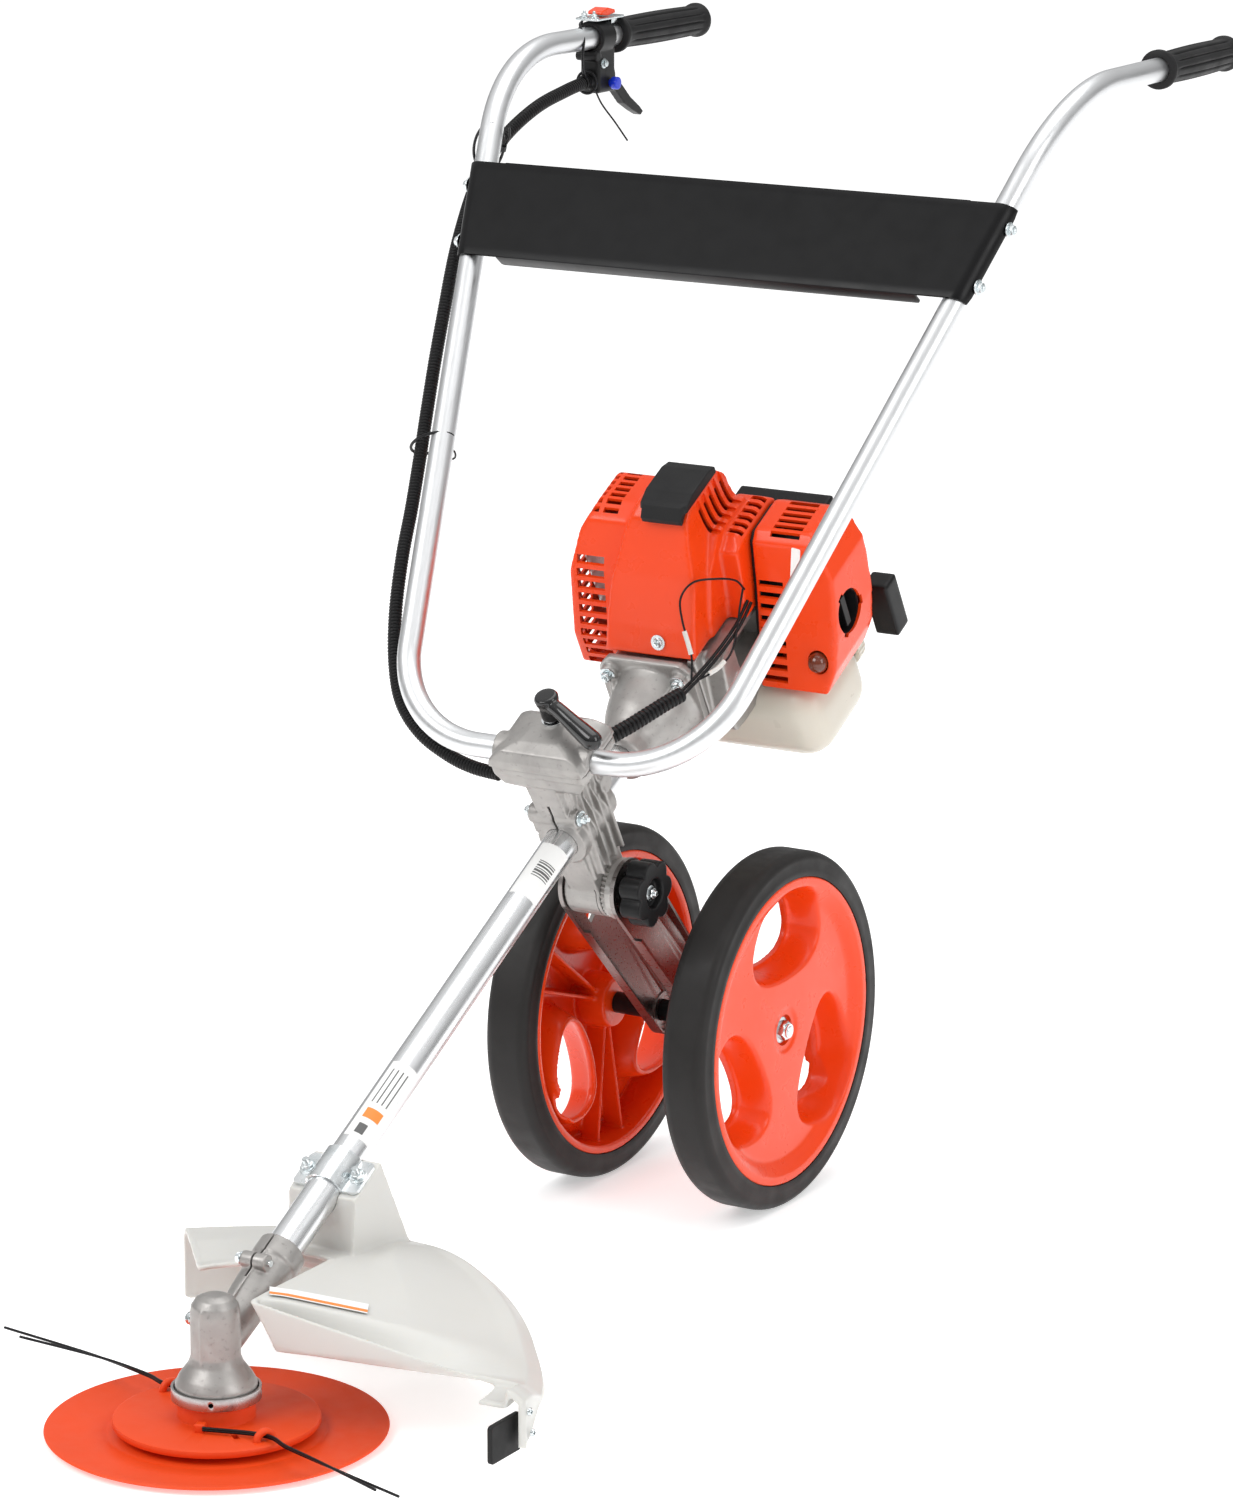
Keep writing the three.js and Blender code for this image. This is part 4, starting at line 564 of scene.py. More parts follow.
def refine(node, width=0.5, segments=2, angle=30.0):
    """A finished copy of a CAD node: corners merged, flat triangles joined, edges rounded."""
    mesh = NODES[node].data.copy()
    work = bmesh.new()
    work.from_mesh(mesh)
    bmesh.ops.remove_doubles(work, verts=work.verts, dist=2e-6)
    bmesh.ops.dissolve_limit(work, angle_limit=math.radians(1.0), verts=work.verts, edges=work.edges)
    work.to_mesh(mesh)
    work.free()
    mesh.transform(Matrix.Scale(1000.0, 4))
    return renew(node, MACHINE, bevelled(mesh, width, segments, angle), angle=angle + 8)


def hex_bolt(radius, height, axis, low, washer=0.0, stub=0.0):
    """A hexagon head standing from low along an axis, with a washer under it and a thread stub on it."""
    sign = 1 if height > 0 else -1
    under = 1.2 * sign if washer else 0.0
    parts = []
    if washer:
        parts.append(bevelled(disc(washer, *sorted((low, low + under)), axis, 40), 0.25, 2))
    head = prism(polygon(radius, 6), axis, *sorted((low + under, low + under + height)))
    dome = lathe([(0, low), (radius * 1.02, low), (radius * 1.02, low + under + height * 0.72),
                  (radius * 0.82, low + under + height), (0, low + under + height)], axis, 48)
    parts.append(bevelled(clip(head, dome), 0.15, 1))
    if stub:
        top = low + under + height
        parts.append(thread(radius * 0.5, axis, top - sign * 0.5, top + stub * sign))
    return merged(*parts)


def thread(radius, axis, low, high):
    """A threaded stud: ridges close together along its length."""
    low, high = sorted((low, high))
    count = max(2, round((high - low) / 0.9))
    profile = [(0, low)]
    for k in range(count):
        h = low + (high - low) * k / count
        profile += [(radius - 0.35, h), (radius, h + (high - low) * 0.5 / count)]
    profile += [(radius - 0.5, high), (0, high)]
    return lathe(profile, axis, 24)


def pan_screw(radius, axis, low, height, slot=True):
    """A round screw head with a cross recess."""
    sign = 1 if height > 0 else -1
    head = lathe([(0, low), (radius, low), (radius, low + height * 0.45), (radius * 0.8, low + height * 0.85),
                  (radius * 0.4, low + height), (0, low + height)], axis, 32)
    if not slot:
        return head
    deep = sorted((low + height * 0.5, low + height + sign))
    arms = []
    for half, wide in ((radius * 0.55, 0.45), (0.45, radius * 0.55)):
        arms.append(prism([(-half, -wide), (half, -wide), (half, wide), (-half, wide)], axis, *deep))
    return carve(head, *arms)


# ---------------------------------------------------------------- pipe
PIPE_RADIUS = 14.0


def add_pipe():
    low, high = -505.0, 118.0
    renew("main_pipe", SHAFT, ring(12.4, PIPE_RADIUS, low, high, "y", 96), "bright_tube")


def wrapped_label(name, low, high, from_angle, to_angle, finish, lift):
    """A sticker that follows the pipe's surface: a thin curved sheet with its own thickness."""
    steps = 24
    verts = []
    for radius in (PIPE_RADIUS + lift - 0.1, PIPE_RADIUS + lift):
        for u in (low, high):
            for k in range(steps + 1):
                angle = math.radians(from_angle + (to_angle - from_angle) * k / steps)
                verts.append((radius * math.sin(angle), u, radius * math.cos(angle)))
    row = steps + 1
    faces = []
    for k in range(steps):
        faces.append([k, k + 1, row + k + 1, row + k])
        faces.append([2 * row + k, 2 * row + k + 1, 3 * row + k + 1, 3 * row + k])
        faces.append([k, k + 1, 2 * row + k + 1, 2 * row + k])
        faces.append([row + k, row + k + 1, 3 * row + k + 1, 3 * row + k])
    faces.append([0, row, 3 * row, 2 * row])
    faces.append([row - 1, 2 * row - 1, 4 * row - 1, 3 * row - 1])
    show(name, "machine", "guard_plastic", SHAFT, mesh_of(verts, faces), (), finish)


def add_pipe_labels():
    """Two plain stickers with unlettered rules and blocks in place of their print."""
    wrapped_label("upper_label", -78, -20, -22, 92, "paper", 0.12)
    for k in range(9):
        u = -70 + k * 1.9 + (k % 3) * 0.5
        wrapped_label(f"upper_label_rule_{k}", u + 14, u + 14.9 + (k % 2) * 0.5, 12, 74, "print_grey", 0.2)
    wrapped_label("lower_label", -352, -272, -18, 78, "paper", 0.12)
    wrapped_label("lower_label_block", -348, -338, 10, 40, "print_grey", 0.2)
    wrapped_label("lower_label_band", -332, -322, 4, 62, "print_orange", 0.2)
    for k in range(4):
        wrapped_label(f"lower_label_rule_{k}", -316, -280, 2 + k * 17, 6 + k * 17, "print_grey", 0.2)


# ---------------------------------------------------------------- cutter head
HEAD_Z = 65.7
CASE_RADIUS = 18.5
PIPE_TURN = math.degrees(math.atan2(SHAFT.col[1].z, SHAFT.col[1].y))


def add_gear_case():
    column = lathe([
        (0, 33), (30.5, 33), (30.5, 40), (27.5, 46), (20.5, 55.5), (CASE_RADIUS, 61), (CASE_RADIUS, 94),
        (17.6, 100), (14, 105), (8, 107.6), (0, 108)], "z", 96)
    neck = lathe([
        (0, 0), (15, 0), (16.2, 40), (17.6, 62), (17.6, 84), (19, 86), (19, 101), (0, 101)], "y", 96)
    lug = merged(disc(6.5, -11, 11, "x", 32))
    lug_place = Matrix.Translation((0, 72, 19))
    lug.transform(lug_place)
    rib = block((-1.6, 1.6), (30, 84), (12, 19.4))
    pipeward = Matrix.Translation((0, 0, HEAD_Z)) @ Matrix.Rotation(math.radians(PIPE_TURN), 4, "X")
    for part in (neck, lug, rib):
        part.transform(pipeward)
    seam = block((-0.8, 0.8), (-CASE_RADIUS - 0.9, 0), (58, 99))
    plug_boss = disc(6.5, -CASE_RADIUS - 2.4, 0, "x", 32)
    plug_boss = moved(plug_boss, 0, 3, 84)
    skin = soft(merged(column, neck, lug, rib, seam, plug_boss), 0.8, 5, 0.35)
    tools = [disc(PIPE_RADIUS + 0.3, 58, 102, "y", 64), block((-0.9, 0.9), (56, 103), (10, 40))]
    tools.append(moved(disc(2.6, -20, 20, "x", 20), 0, 72, 19))
    for tool in tools:
        tool.transform(pipeward)
    skin = carve(skin, tools[0], tools[1])
    renew("gear_case", MACHINE, skin)
    bolt = hex_bolt(4.6, -4.2, "x", -11.2, 5.6, 0)
    far = disc(2.6, -11, 13.5, "x", 24)
    clamp = moved(merged(bolt, far), 0, 72, 19)
    clamp.transform(pipeward)
    plug = moved(hex_bolt(5.0, -4.4, "x", -CASE_RADIUS - 2.4, 6.0, 0), 0, 3, 84)
    show("gear_case_screws", "machine", "zinc_plated", MACHINE, merged(clamp, plug))


def add_collar():
    floor = 28.3
    cup = lathe([
        (5.4, floor), (33.5, floor), (33.5, floor + 9.2), (31.7, floor + 9.2), (31.7, floor + 2.4),
        (5.4, floor + 2.4), (5.4, floor)], "z", 128)
    holes = [turned(moved(disc(1.9, 25, 40, "x", 20), 0, 0, floor + 5), angle, "z")
             for angle in (-62, 28, 118, 208)]
    renew("collar_ring", MACHINE, bevelled(carve(cup, *holes), 0.3, 2))


EYELET_ANGLE = -23.0
EYELET_RADIUS = 65.0
CUTTER_TOP = 14.3
LINE_Z = CUTTER_TOP + 3.4


POST_RADIUS = 36.0
POST_ANGLE = -74.0
SLOT_ANGLE = -39.0


def add_cutter():
    """The cutter disc: a shallow drum with two line eyelets, two line posts and their slots."""
    plate = lathe([
        (0, 8.2), (75, 8.2), (76.5, 8.8), (77, 10.2), (77, 12.3), (76.4, 13.6), (74.6, CUTTER_TOP),
        (30.6, CUTTER_TOP), (29.4, 14.8), (29, 16), (29, 28), (0, 28)], "z", 160)
    arc = [(EYELET_RADIUS, 6.6 * math.cos(math.pi * k / 16),
            CUTTER_TOP + 6.8 * math.sin(math.pi * k / 16) - 0.3)
           for k in range(17)]
    eyelets = [tube(arc, 2.9, 24)]
    post = block((POST_RADIUS - 4, POST_RADIUS + 4), (-4, 4), (CUTTER_TOP - 1, CUTTER_TOP + 6.5))
    post = bevelled(post, 1.4, 3)
    parts = [turned(part, EYELET_ANGLE + side, "z") for side in (0, 180) for part in eyelets]
    parts += [turned(post, POST_ANGLE + side, "z") for side in (0, 180)]
    slots = [turned(block((45, 54), (-2.2, 2.2), (CUTTER_TOP - 3, CUTTER_TOP + 3)), SLOT_ANGLE + side, "z")
             for side in (0, 180)]
    renew("cutter_disc", MACHINE, carve(fuse(plate, *parts), *slots), "matt_orange")


def add_skid():
    dish = lathe([
        (0, 0), (100, 0), (120, 1.6), (126, 3.8), (127.2, 4.7), (127.4, 5.4), (126.9, 6.1), (126, 6.3),
        (118, 4.6), (98, 3.2), (84, 3.2), (83, 2.6), (79, 2.6), (78, 3.2), (30, 3.2), (30, 7.7), (0, 7.7)],
        "z", 192)
    renew("skid_disc", MACHINE, dish, "matt_orange")


LINE_ENDS = {
    "left": [(228, 8, 3), (206, 3, 2)],
    "right": [(238, 42, 4), (213, 43, 4)],
}


def add_lines():
    """Nylon line: two strands run from the post through the eyelet and drift apart."""
    swing = math.radians(POST_ANGLE - EYELET_ANGLE)
    around_post = ((POST_RADIUS + 4.5) * math.cos(swing) + 2, (POST_RADIUS + 4.5) * math.sin(swing) + 2)
    for side, ends in LINE_ENDS.items():
        strands = []
        for k, (out, aside, rise) in enumerate(ends):
            lift = LINE_Z + (0.9 if k else -0.6)
            route = spline([
                (*around_post, lift), (EYELET_RADIUS, 0, lift), (EYELET_RADIUS + 30, aside * 0.06, lift),
                ((EYELET_RADIUS + out) / 2, aside * 0.35, lift + rise / 2), (out, aside, LINE_Z + rise)], 4)
            strands.append(tube(route, 1.1, 12))
        mesh = turned(merged(*strands), EYELET_ANGLE + (0 if side == "left" else 180), "z")
        renew(f"cutting_line_{side}", MACHINE, mesh, "wire_black")


# ---------------------------------------------------------------- guard
GUARD_RADIUS = 236.0
GUARD_WALL = 3.0
SLOT_HALF_WIDTH = 25.0
SLOT_REACH = 117.0
CLAMP_U = -382.0
TOWER_HALF_WIDTH = 30.0


def ease(value, low, high):
    t = min(max((value - low) / (high - low), 0.0), 1.0)
    return t * t * (3 - 2 * t)


def mix(a, b, t):
    return a + (b - a) * t


def guard_stations(degrees):
    """The guard's upper surface at one angle round the cutter, as (radius, height) from inside to skirt."""
    angle = math.radians(degrees)
    slot = min(SLOT_REACH, SLOT_HALF_WIDTH / max(abs(math.cos(angle)), 1e-3))
    body = ease(degrees, 14, 18)
    front = 1 - ease(degrees, 15, 31)
    wing = ease(degrees, 96, 128)
    inner = mix(216, slot + 2 + 76 * wing, body)
    outer = GUARD_RADIUS + 15 * (1 - ease(degrees, 6, 40)) - 2 * wing
    near = mix(inner + 6, min(inner + 18, outer - 30), body)
    ridge = mix(60, 88, ease(degrees, 24, 78)) + 12 * (1 - ease(degrees, 8, 18)) - 3 * wing
    plateau = mix(60, 105, body) - 16 * wing
    skirt = mix(mix(29, 50, ease(degrees, 5, 14)), 44, ease(degrees, 14, 34)) - 18 * wing
    middle = (near + outer) / 2
    return [
        (inner, plateau),
        (near, mix(mix(60, 103, body), 64, front * body) - 17 * wing),
        (middle, mix(mix(60, (105 + ridge) / 2, body), 61, front * body) - 8 * wing),
        (outer - 12, ridge), (outer, ridge - 8), (outer, skirt)]


def guard_point(degrees, r, z):
    angle = math.radians(degrees)
    return Vector((r * math.cos(angle), r * math.sin(angle), z))


def thickened(grid, wall):
    """Each row of a sheet closed with its own underside, one wall away along the sheet's normal."""
    rows = []
    for i, row in enumerate(grid):
        ahead, behind = grid[min(i + 1, len(grid) - 1)], grid[max(i - 1, 0)]
        under = []
        for k, point in enumerate(row):
            across = row[min(k + 1, len(row) - 1)] - row[max(k - 1, 0)]
            normal = across.cross(ahead[k] - behind[k]).normalized()
            under.append(point - normal * wall)
        rows.append(row + under[::-1])
    return rows


def guard_shell():
    """The hood as a thin shell, its section refined between the stations and raised in two long wedges."""
    angles = [5.2 + (131 - 5.2) * k / 84 for k in range(85)]
    rings = []
    for degrees in angles:
        marks = guard_stations(degrees)
        fine = []
        for (r0, z0), (r1, z1) in zip(marks, marks[1:]):
            for k in range(6):
                t = k / 6
                fine.append((mix(r0, r1, t), mix(z0, z1, t)))
        fine.append(marks[-1])
        top = []
        for k, (r, z) in enumerate(fine):
            across = k / 24
            wedge = 2.2 * ease(across, 0.42, 0.5) * (1 - ease(across, 0.62, 0.95))
            wedge *= ease(degrees, 34, 62) * (1 - ease(degrees, 84, 92))
            second = 1.6 * ease(across, 0.7, 0.74) * (1 - ease(across, 0.8, 0.98)) * ease(degrees, 24, 40)
            second *= 1 - ease(degrees, 70, 84)
            top.append((r, z + wedge + second))
        rings.append([guard_point(degrees, r, z) for r, z in top])
    rings = thickened(rings, GUARD_WALL)
    return skinned(rings)


def guard_lips():
    """Thicker rims round the hood's free edges."""
    def edge(index, low, high, out=0.0, down=0.0):
        steps = max(4, int((high - low) / 2))
        marks = []
        for k in range(steps + 1):
            degrees = low + (high - low) * k / steps
            r, z = guard_stations(degrees)[index]
            marks.append(guard_point(degrees, r + out, z - down))
        return tube(marks, 2.3, 12)
    lips = [edge(-1, 6.2, 130.2, -1.2), edge(0, 20, 84, 0.6, 1.4), edge(0, 96, 130.2, 0.6, 1.4)]
    for degrees in (6.2, 130.2):
        marks = [guard_point(degrees, r, z - 1.4) for r, z in guard_stations(degrees)]
        lips.append(tube(even(marks, 4), 2.2, 12))
    return lips


def beside_pipe(u, v):
    point = (MACHINE.inverted() @ SHAFT) @ Vector((0, u, v))
    return point.y, point.z


GUARD_LABEL = [Vector((32, 24)), Vector((94, 60)), Vector((86, 74)), Vector((24, 36))]


def on_hood(x, y, lift):
    """The point on the hood's upper surface above a place on the ground."""
    marks = guard_stations(math.degrees(math.atan2(y, x)))
    r = math.hypot(x, y)
    for (r0, z0), (r1, z1) in zip(marks, marks[1:]):
        if r <= r1:
            break
    return Vector((x, y, mix(z0, z1, (r - r0) / max(r1 - r0, 1e-6)) + lift))


def add_guard_label(name, low, high, lift, finish):
    """A strip laid on the hood, between two shares of its short side."""
    front_near, front_far, back_far, back_near = GUARD_LABEL
    columns = 16
    verts = []
    for drop in (0.0, 0.25):
        for side in (low, high):
            for k in range(columns + 1):
                along = k / columns
                place = front_near.lerp(front_far, along).lerp(back_near.lerp(back_far, along), side)
                verts.append(on_hood(place.x, place.y, lift - drop))
    row = columns + 1
    faces = []
    for k in range(columns):
        for a, b in ((0, row), (2 * row, 3 * row), (0, 2 * row), (row, 3 * row)):
            faces.append([a + k, a + k + 1, b + k + 1, b + k])
    faces += [[0, row, 3 * row, 2 * row], [row - 1, 2 * row - 1, 4 * row - 1, 3 * row - 1]]
    show(name, "machine", "guard_plastic", MACHINE, mesh_of(verts, faces), (), finish)


def add_guard():
    front, back = CLAMP_U - 20, CLAMP_U + 21
    tower = prism([
        beside_pipe(front, -0.5), (138, 106), (136, 86), (212, 76), (217, 90), beside_pipe(back, -0.5)],
        "x", -TOWER_HALF_WIDTH, TOWER_HALF_WIDTH)
    rim_half = TOWER_HALF_WIDTH + 3
    rim = prism([(136, 86), (135, 92), (216, 84), (218, 75)], "x", -rim_half, rim_half)
    skin = soft(merged(guard_shell(), tower, rim, *guard_lips()), 1.25, 3, 0.4)
    hollow = prism([
        beside_pipe(front + 4, -18.5), (142, 60), (211, 60), (212, 90), beside_pipe(back - 5, -18.5)],
        "x", 4 - TOWER_HALF_WIDTH, TOWER_HALF_WIDTH - 4)
    trough = disc(PIPE_RADIUS + 0.3, 60, 400, "y", 64)
    trough.transform(MACHINE.inverted() @ HEAD)
    renew("guard", MACHINE, carve(skin, hollow, trough), angle=50)
    add_guard_label("guard_label", 0.0, 1.0, 1.9, "paper")
    add_guard_label("guard_label_band", 0.1, 0.36, 2.15, "print_orange")
    screws = [moved(pan_screw(3.0, "x", 0, 2.2), 252.2, 29.9, 55.9),
              moved(pan_screw(3.0, "x", 0, 2.2), 252.2, 33.5, 38.9)]
    show("guard_arm_screws", "machine", "zinc_plated", MACHINE, merged(*screws))


def add_guard_clamp():
    inner = PIPE_RADIUS + 0.3
    low, high = CLAMP_U - 16, CLAMP_U + 16
    arch = carve(ring(inner, inner + 2.2, low, high, "y", 96),
                 block((-40, 40), (low - 1, high + 1), (-30, 0.2)))
    ear = rounded_outline([(-29, low), (29, low), (29, high), (-29, high)], 4)
    ears = carve(prism(ear, "z", 0.2, 2.4), disc(inner, low - 1, high + 1, "y", 96))
    lips = [block((x - 1.1, x + 1.1), (low + 3, high - 3), (-2.6, 1.4)) for x in (-28, 28)]
    strap = bevelled(fuse(arch, ears, *lips), 0.5, 2, 40)
    bolts = [moved(hex_bolt(5.2, 4.2, "z", 2.4, 7.0, 5.0), x, CLAMP_U, 0) for x in (-22.5, 22.5)]
    renew("guard_clamp", SHAFT, merged(strap, *bolts))


def add_flap():
    flap = rounded_outline([(-5, 24), (35, 24), (35, 53), (-5, 53)], 3)
    renew("guard_flap", MACHINE, bevelled(prism(flap, "x", 238.2, 242.4), 0.8, 3))


for function in (add_pipe, add_pipe_labels, add_gear_case, add_collar, add_cutter,
                 add_skid, add_lines, add_guard, add_guard_clamp, add_flap):
    function()


# ---------------------------------------------------------------- bracket
BASE_HALF_WIDTH = 42.0
BAR_RADIUS = 10.0
BAR_U, BAR_V = 10.8, 81.1
STUD_U = 31.0
CLAMP_SHIFT = 4.0
BARREL_RADIUS = 24.0
BARREL_LEFT, BARREL_RIGHT = -19.6, 13.6
ARM_PIVOT_RADIUS = 26.0
ARM_WALL = 3.7
LEFT_ARM_X = 24.3
RIGHT_ARM_X = -20.3 - ARM_WALL
GAP = 0.3


def at_pivot(mesh):
    return moved(mesh, 0, PIVOT_U, PIVOT_V)


def add_bracket():
    """The casting that holds the pipe, the handlebar and the wheel arm, with its four ribs each side."""
    column = prism([
        (3, PIVOT_V + 8), (0, -40), (-3, -14), (-3, 14), (-6, 44), (-8, 62), (38, 62), (44, 40), (47, 10),
        (47, -20), (PIVOT_U + 22, PIVOT_V + 6), (PIVOT_U, PIVOT_V)], "x", -14, 14)
    barrel = at_pivot(disc(BARREL_RADIUS, BARREL_LEFT, BARREL_RIGHT, "x", 96))
    sleeve = disc(PIPE_RADIUS + 6.5, -2, 54, "y", 96)
    collar = disc(PIPE_RADIUS + 7.5, -4, 14, "y", 96)
    lugs = [moved(disc(8.5, *span, "x", 48), 0, 3, 23) for span in ((-24, -1.2), (1.2, 20))]
    lug_feet = [block(span, (-4, 10), (8, 24)) for span in ((-22, -1.2), (1.2, 18))]
    rear_lug = moved(disc(8.5, -20, 22, "x", 48), 0, 46, 23)
    half = BASE_HALF_WIDTH
    base_side = prism([
        (-10, BAR_V - GAP), (-10, 64), (0, 52), (34, 52), (44, 62), (44, BAR_V - GAP)],
        "x", CLAMP_SHIFT - half, CLAMP_SHIFT + half)
    base_front = moved(prism([
        (-half, 90), (-half, 72), (-19, 44), (19, 44), (half, 72), (half, 90)], "y", -20, 60), CLAMP_SHIFT)
    flange = prism(rounded_outline([
        (CLAMP_SHIFT - half - 2, -12), (CLAMP_SHIFT + half + 2, -12), (CLAMP_SHIFT + half + 2, 45),
        (CLAMP_SHIFT - half - 2, 45)], 7), "z", BAR_V - 6.5, BAR_V - GAP)
    ribs = []
    for i in range(4):
        u = 6 + i * 11
        ribs.append(prism([(-23, -40), (23, -40), (23, 20), (19, 34), (23, 50), (23, 60), (-23, 60),
                           (-23, 50), (-19, 34), (-23, 20)], "y", u, u + 2.8))
    web = block((-16.5, 16.5), (2, 44), (-44, 50))
    base = clip(base_side, base_front)
    skin = merged(column, barrel, sleeve, collar, base, flange, web, *lugs, *lug_feet, rear_lug, *ribs)
    skin = soft(skin, 0.95, 3, 0.4)
    pivot_room = [at_pivot(disc(ARM_PIVOT_RADIUS + 1, *span, "x", 64))
                  for span in ((BARREL_RIGHT + GAP, 40), (-40, BARREL_LEFT - GAP))]
    tools = [
        disc(PIPE_RADIUS + GAP, -20, 70, "y", 96),
        moved(disc(BAR_RADIUS + GAP, -60, 60, "x", 64), 0, BAR_U, BAR_V),
        at_pivot(disc(AXLE_BORE, -40, 40, "x", 48)), moved(disc(4.4, -40, 40, "x", 32), 0, 3, 23),
        moved(disc(4.6, 58, 90, "z", 32), CLAMP_SHIFT, STUD_U, 0), *pivot_room,
        block((-1.2, 1.2), (-10, 12), (13, 40)),
        at_pivot(ring(
            BARREL_RADIUS - 0.8, BARREL_RADIUS + 3, BARREL_RIGHT - 3.4, BARREL_RIGHT - 2.6, "x", 96))]
    renew("bracket_body", SHAFT, carve(skin, *tools))
    bolt = merged(hex_bolt(4.8, -4.5, "x", -24.3, 6.6, 0), disc(3.9, -25, 20.5, "x", 32),
                  hex_bolt(4.8, 4.0, "x", 20.3, 6.6, 3.0))
    renew("pipe_clamp_bolt", SHAFT, moved(bolt, 0, 3, 23))
    studs = [moved(pan_screw(3.4, "x", 14.4, 2.2), 0, 27, -32),
             moved(pan_screw(3.4, "x", 14.4, 2.2), 0, 38, 8)]
    show("bracket_screws", "machine", "zinc_plated", SHAFT, merged(*studs))


def add_clamp_cap():
    """The domed upper half of the handlebar clamp."""
    half = BASE_HALF_WIDTH
    side = prism([
        (-12, BAR_V + GAP), (-12, 88), (-7, 96), (4, 100), (34, 101), (42, 97), (45, 88), (45, BAR_V + GAP)],
        "x", CLAMP_SHIFT - 52, CLAMP_SHIFT + 52)
    dome = [(half + 1, 60), (half + 1, 84)]
    angles = [math.pi * k / 24 for k in range(1, 24)]
    dome += [((half + 1) * math.cos(angle), 84 + 17.5 * math.sin(angle)) for angle in angles]
    dome += [(-half - 1, 84), (-half - 1, 60)]
    front = moved(prism(dome, "y", -20, 60), CLAMP_SHIFT)
    rim = prism(rounded_outline([
        (CLAMP_SHIFT - half - 2, -13), (CLAMP_SHIFT + half + 2, -13), (CLAMP_SHIFT + half + 2, 46),
        (CLAMP_SHIFT - half - 2, 46)], 7), "z", BAR_V + GAP, BAR_V + 4.4)
    tunnel = moved(disc(BAR_RADIUS + 4.5, -half - 2, half + 2, "x", 64), CLAMP_SHIFT, BAR_U, BAR_V)
    tunnel = clip(tunnel, block((-60, 60), (-30, 60), (BAR_V + GAP, 120)))
    boss = moved(lathe([(0, 88), (13, 88), (12, 99), (10.5, 101), (0, 101)], "z", 64), CLAMP_SHIFT, STUD_U)
    skin = soft(merged(clip(side, front), rim, tunnel, boss), 0.9, 6, 0.35)
    flat = block((-60, 70), (-40, 80), (40, BAR_V + GAP))
    renew("handle_clamp_cap", SHAFT, carve(
        skin, flat, moved(disc(BAR_RADIUS + GAP, -70, 70, "x", 64), 0, BAR_U, BAR_V),
        moved(disc(4.6, 70, 110, "z", 32), CLAMP_SHIFT, STUD_U)))
    stud = merged(disc(3.9, 59, 107, "z", 32), ring(4.0, 9.5, 101.05, 102.5, "z", 48))
    renew("clamp_stud", SHAFT, moved(stud, CLAMP_SHIFT, STUD_U))


def add_clamp_lever():
    """A moulded lever: a round hub with a rim and a handle that swells towards its end."""
    head = lathe([(0, 103), (8.0, 103), (8.6, 106), (8.2, 116), (9.6, 120), (10, 124), (8.6, 126.2),
                  (6, 126.5), (0, 126.5)], "z", 64)
    marks = spline([(0, 0, 118), (14, -6.6, 117.5), (32, -15.4, 112.5), (50, -24, 107.6)], 1.5)
    last = len(marks) - 1
    arm = tube(marks, lambda i: 6.4 + 1.9 * ease(i / last, 0.25, 1.0), 32)
    end = ball(8.3, marks[-1], (1, 1, 1))
    skin = soft(merged(head, arm, end), 0.7, 6, 0.5)
    renew("clamp_lever", SHAFT, moved(carve(skin, disc(4.4, 100, 107.4, "z", 32)), CLAMP_SHIFT, STUD_U),
          "lever_black")


# ---------------------------------------------------------------- wheel arm
def arm_outline(spread, steps=40):
    big, small = ARM_PIVOT_RADIUS + spread, 20.0 + spread
    points = []
    for k in range(steps + 1):
        angle = math.pi * (0.48 + 1.04 * k / steps)
        points.append((big * math.cos(angle), big * math.sin(angle)))
    for k in range(steps + 1):
        angle = math.pi * (-0.48 + 0.96 * k / steps)
        points.append((ARM_LENGTH + small * math.cos(angle), small * math.sin(angle)))
    return points


def add_arms():
    """Two pressed plates with a turned-up edge. The right one has a window near its pivot."""
    holes = [disc(AXLE_BORE, -60, 60, "x", 40), moved(disc(9.3, -60, 60, "x", 48), 0, ARM_LENGTH)]
    for name, x in (("left", LEFT_ARM_X), ("right", RIGHT_ARM_X)):
        plate = prism(arm_outline(0), "x", x, x + ARM_WALL)
        top = x + ARM_WALL
        from_y = 38.0
        hoop = carve(prism(arm_outline(0), "x", top - 0.5, top + 6.0),
                     prism(arm_outline(-2.4), "x", top - 2, top + 9))
        edge = clip(hoop, block((-60, 60), (from_y, 400), (-60, 60)))
        swage = moved(ring(13.0, 16.0, top - 0.4, top + 1.2, "x", 64), 0, ARM_LENGTH)
        mesh = fuse(plate, edge, swage)
        mesh = carve(mesh, *holes)
        if name == "right":
            mesh = carve(mesh, block((-40, 0), (30, 42), (-13, 11)))
        renew(f"swing_arm_{name}", ARM, bevelled(mesh, 0.5, 2), "arm_steel")


def add_pivot():
    teeth = 36
    outline = []
    for k in range(teeth * 4):
        angle = 2 * math.pi * k / (teeth * 4)
        radius = BARREL_RADIUS - 0.9 + 0.9 * math.tanh(3 * math.sin(angle * teeth))
        outline.append((radius * math.cos(angle), radius * math.sin(angle)))
    plate = prism(outline, "x", BARREL_RIGHT + 0.6, LEFT_ARM_X - 5)
    smooth = disc(BARREL_RADIUS + 1.2, LEFT_ARM_X - 5.2, LEFT_ARM_X - GAP, "x", 96)
    toothed = carve(fuse(plate, smooth), disc(AXLE_BORE, 0, 40, "x", 40))
    renew("serrated_ring", ARM, bevelled(toothed, 0.25, 1))
    shank = disc(6, RIGHT_ARM_X - 1, LEFT_ARM_X + 21, "x", 48)
    head = hex_bolt(10, -6, "x", RIGHT_ARM_X - GAP, 13.0)
    nut = hex_bolt(4.8, 3.2, "x", LEFT_ARM_X + ARM_WALL + 18.2, 6.4, 2.6)
    renew("pivot_bolt", ARM, merged(shank, head, nut))


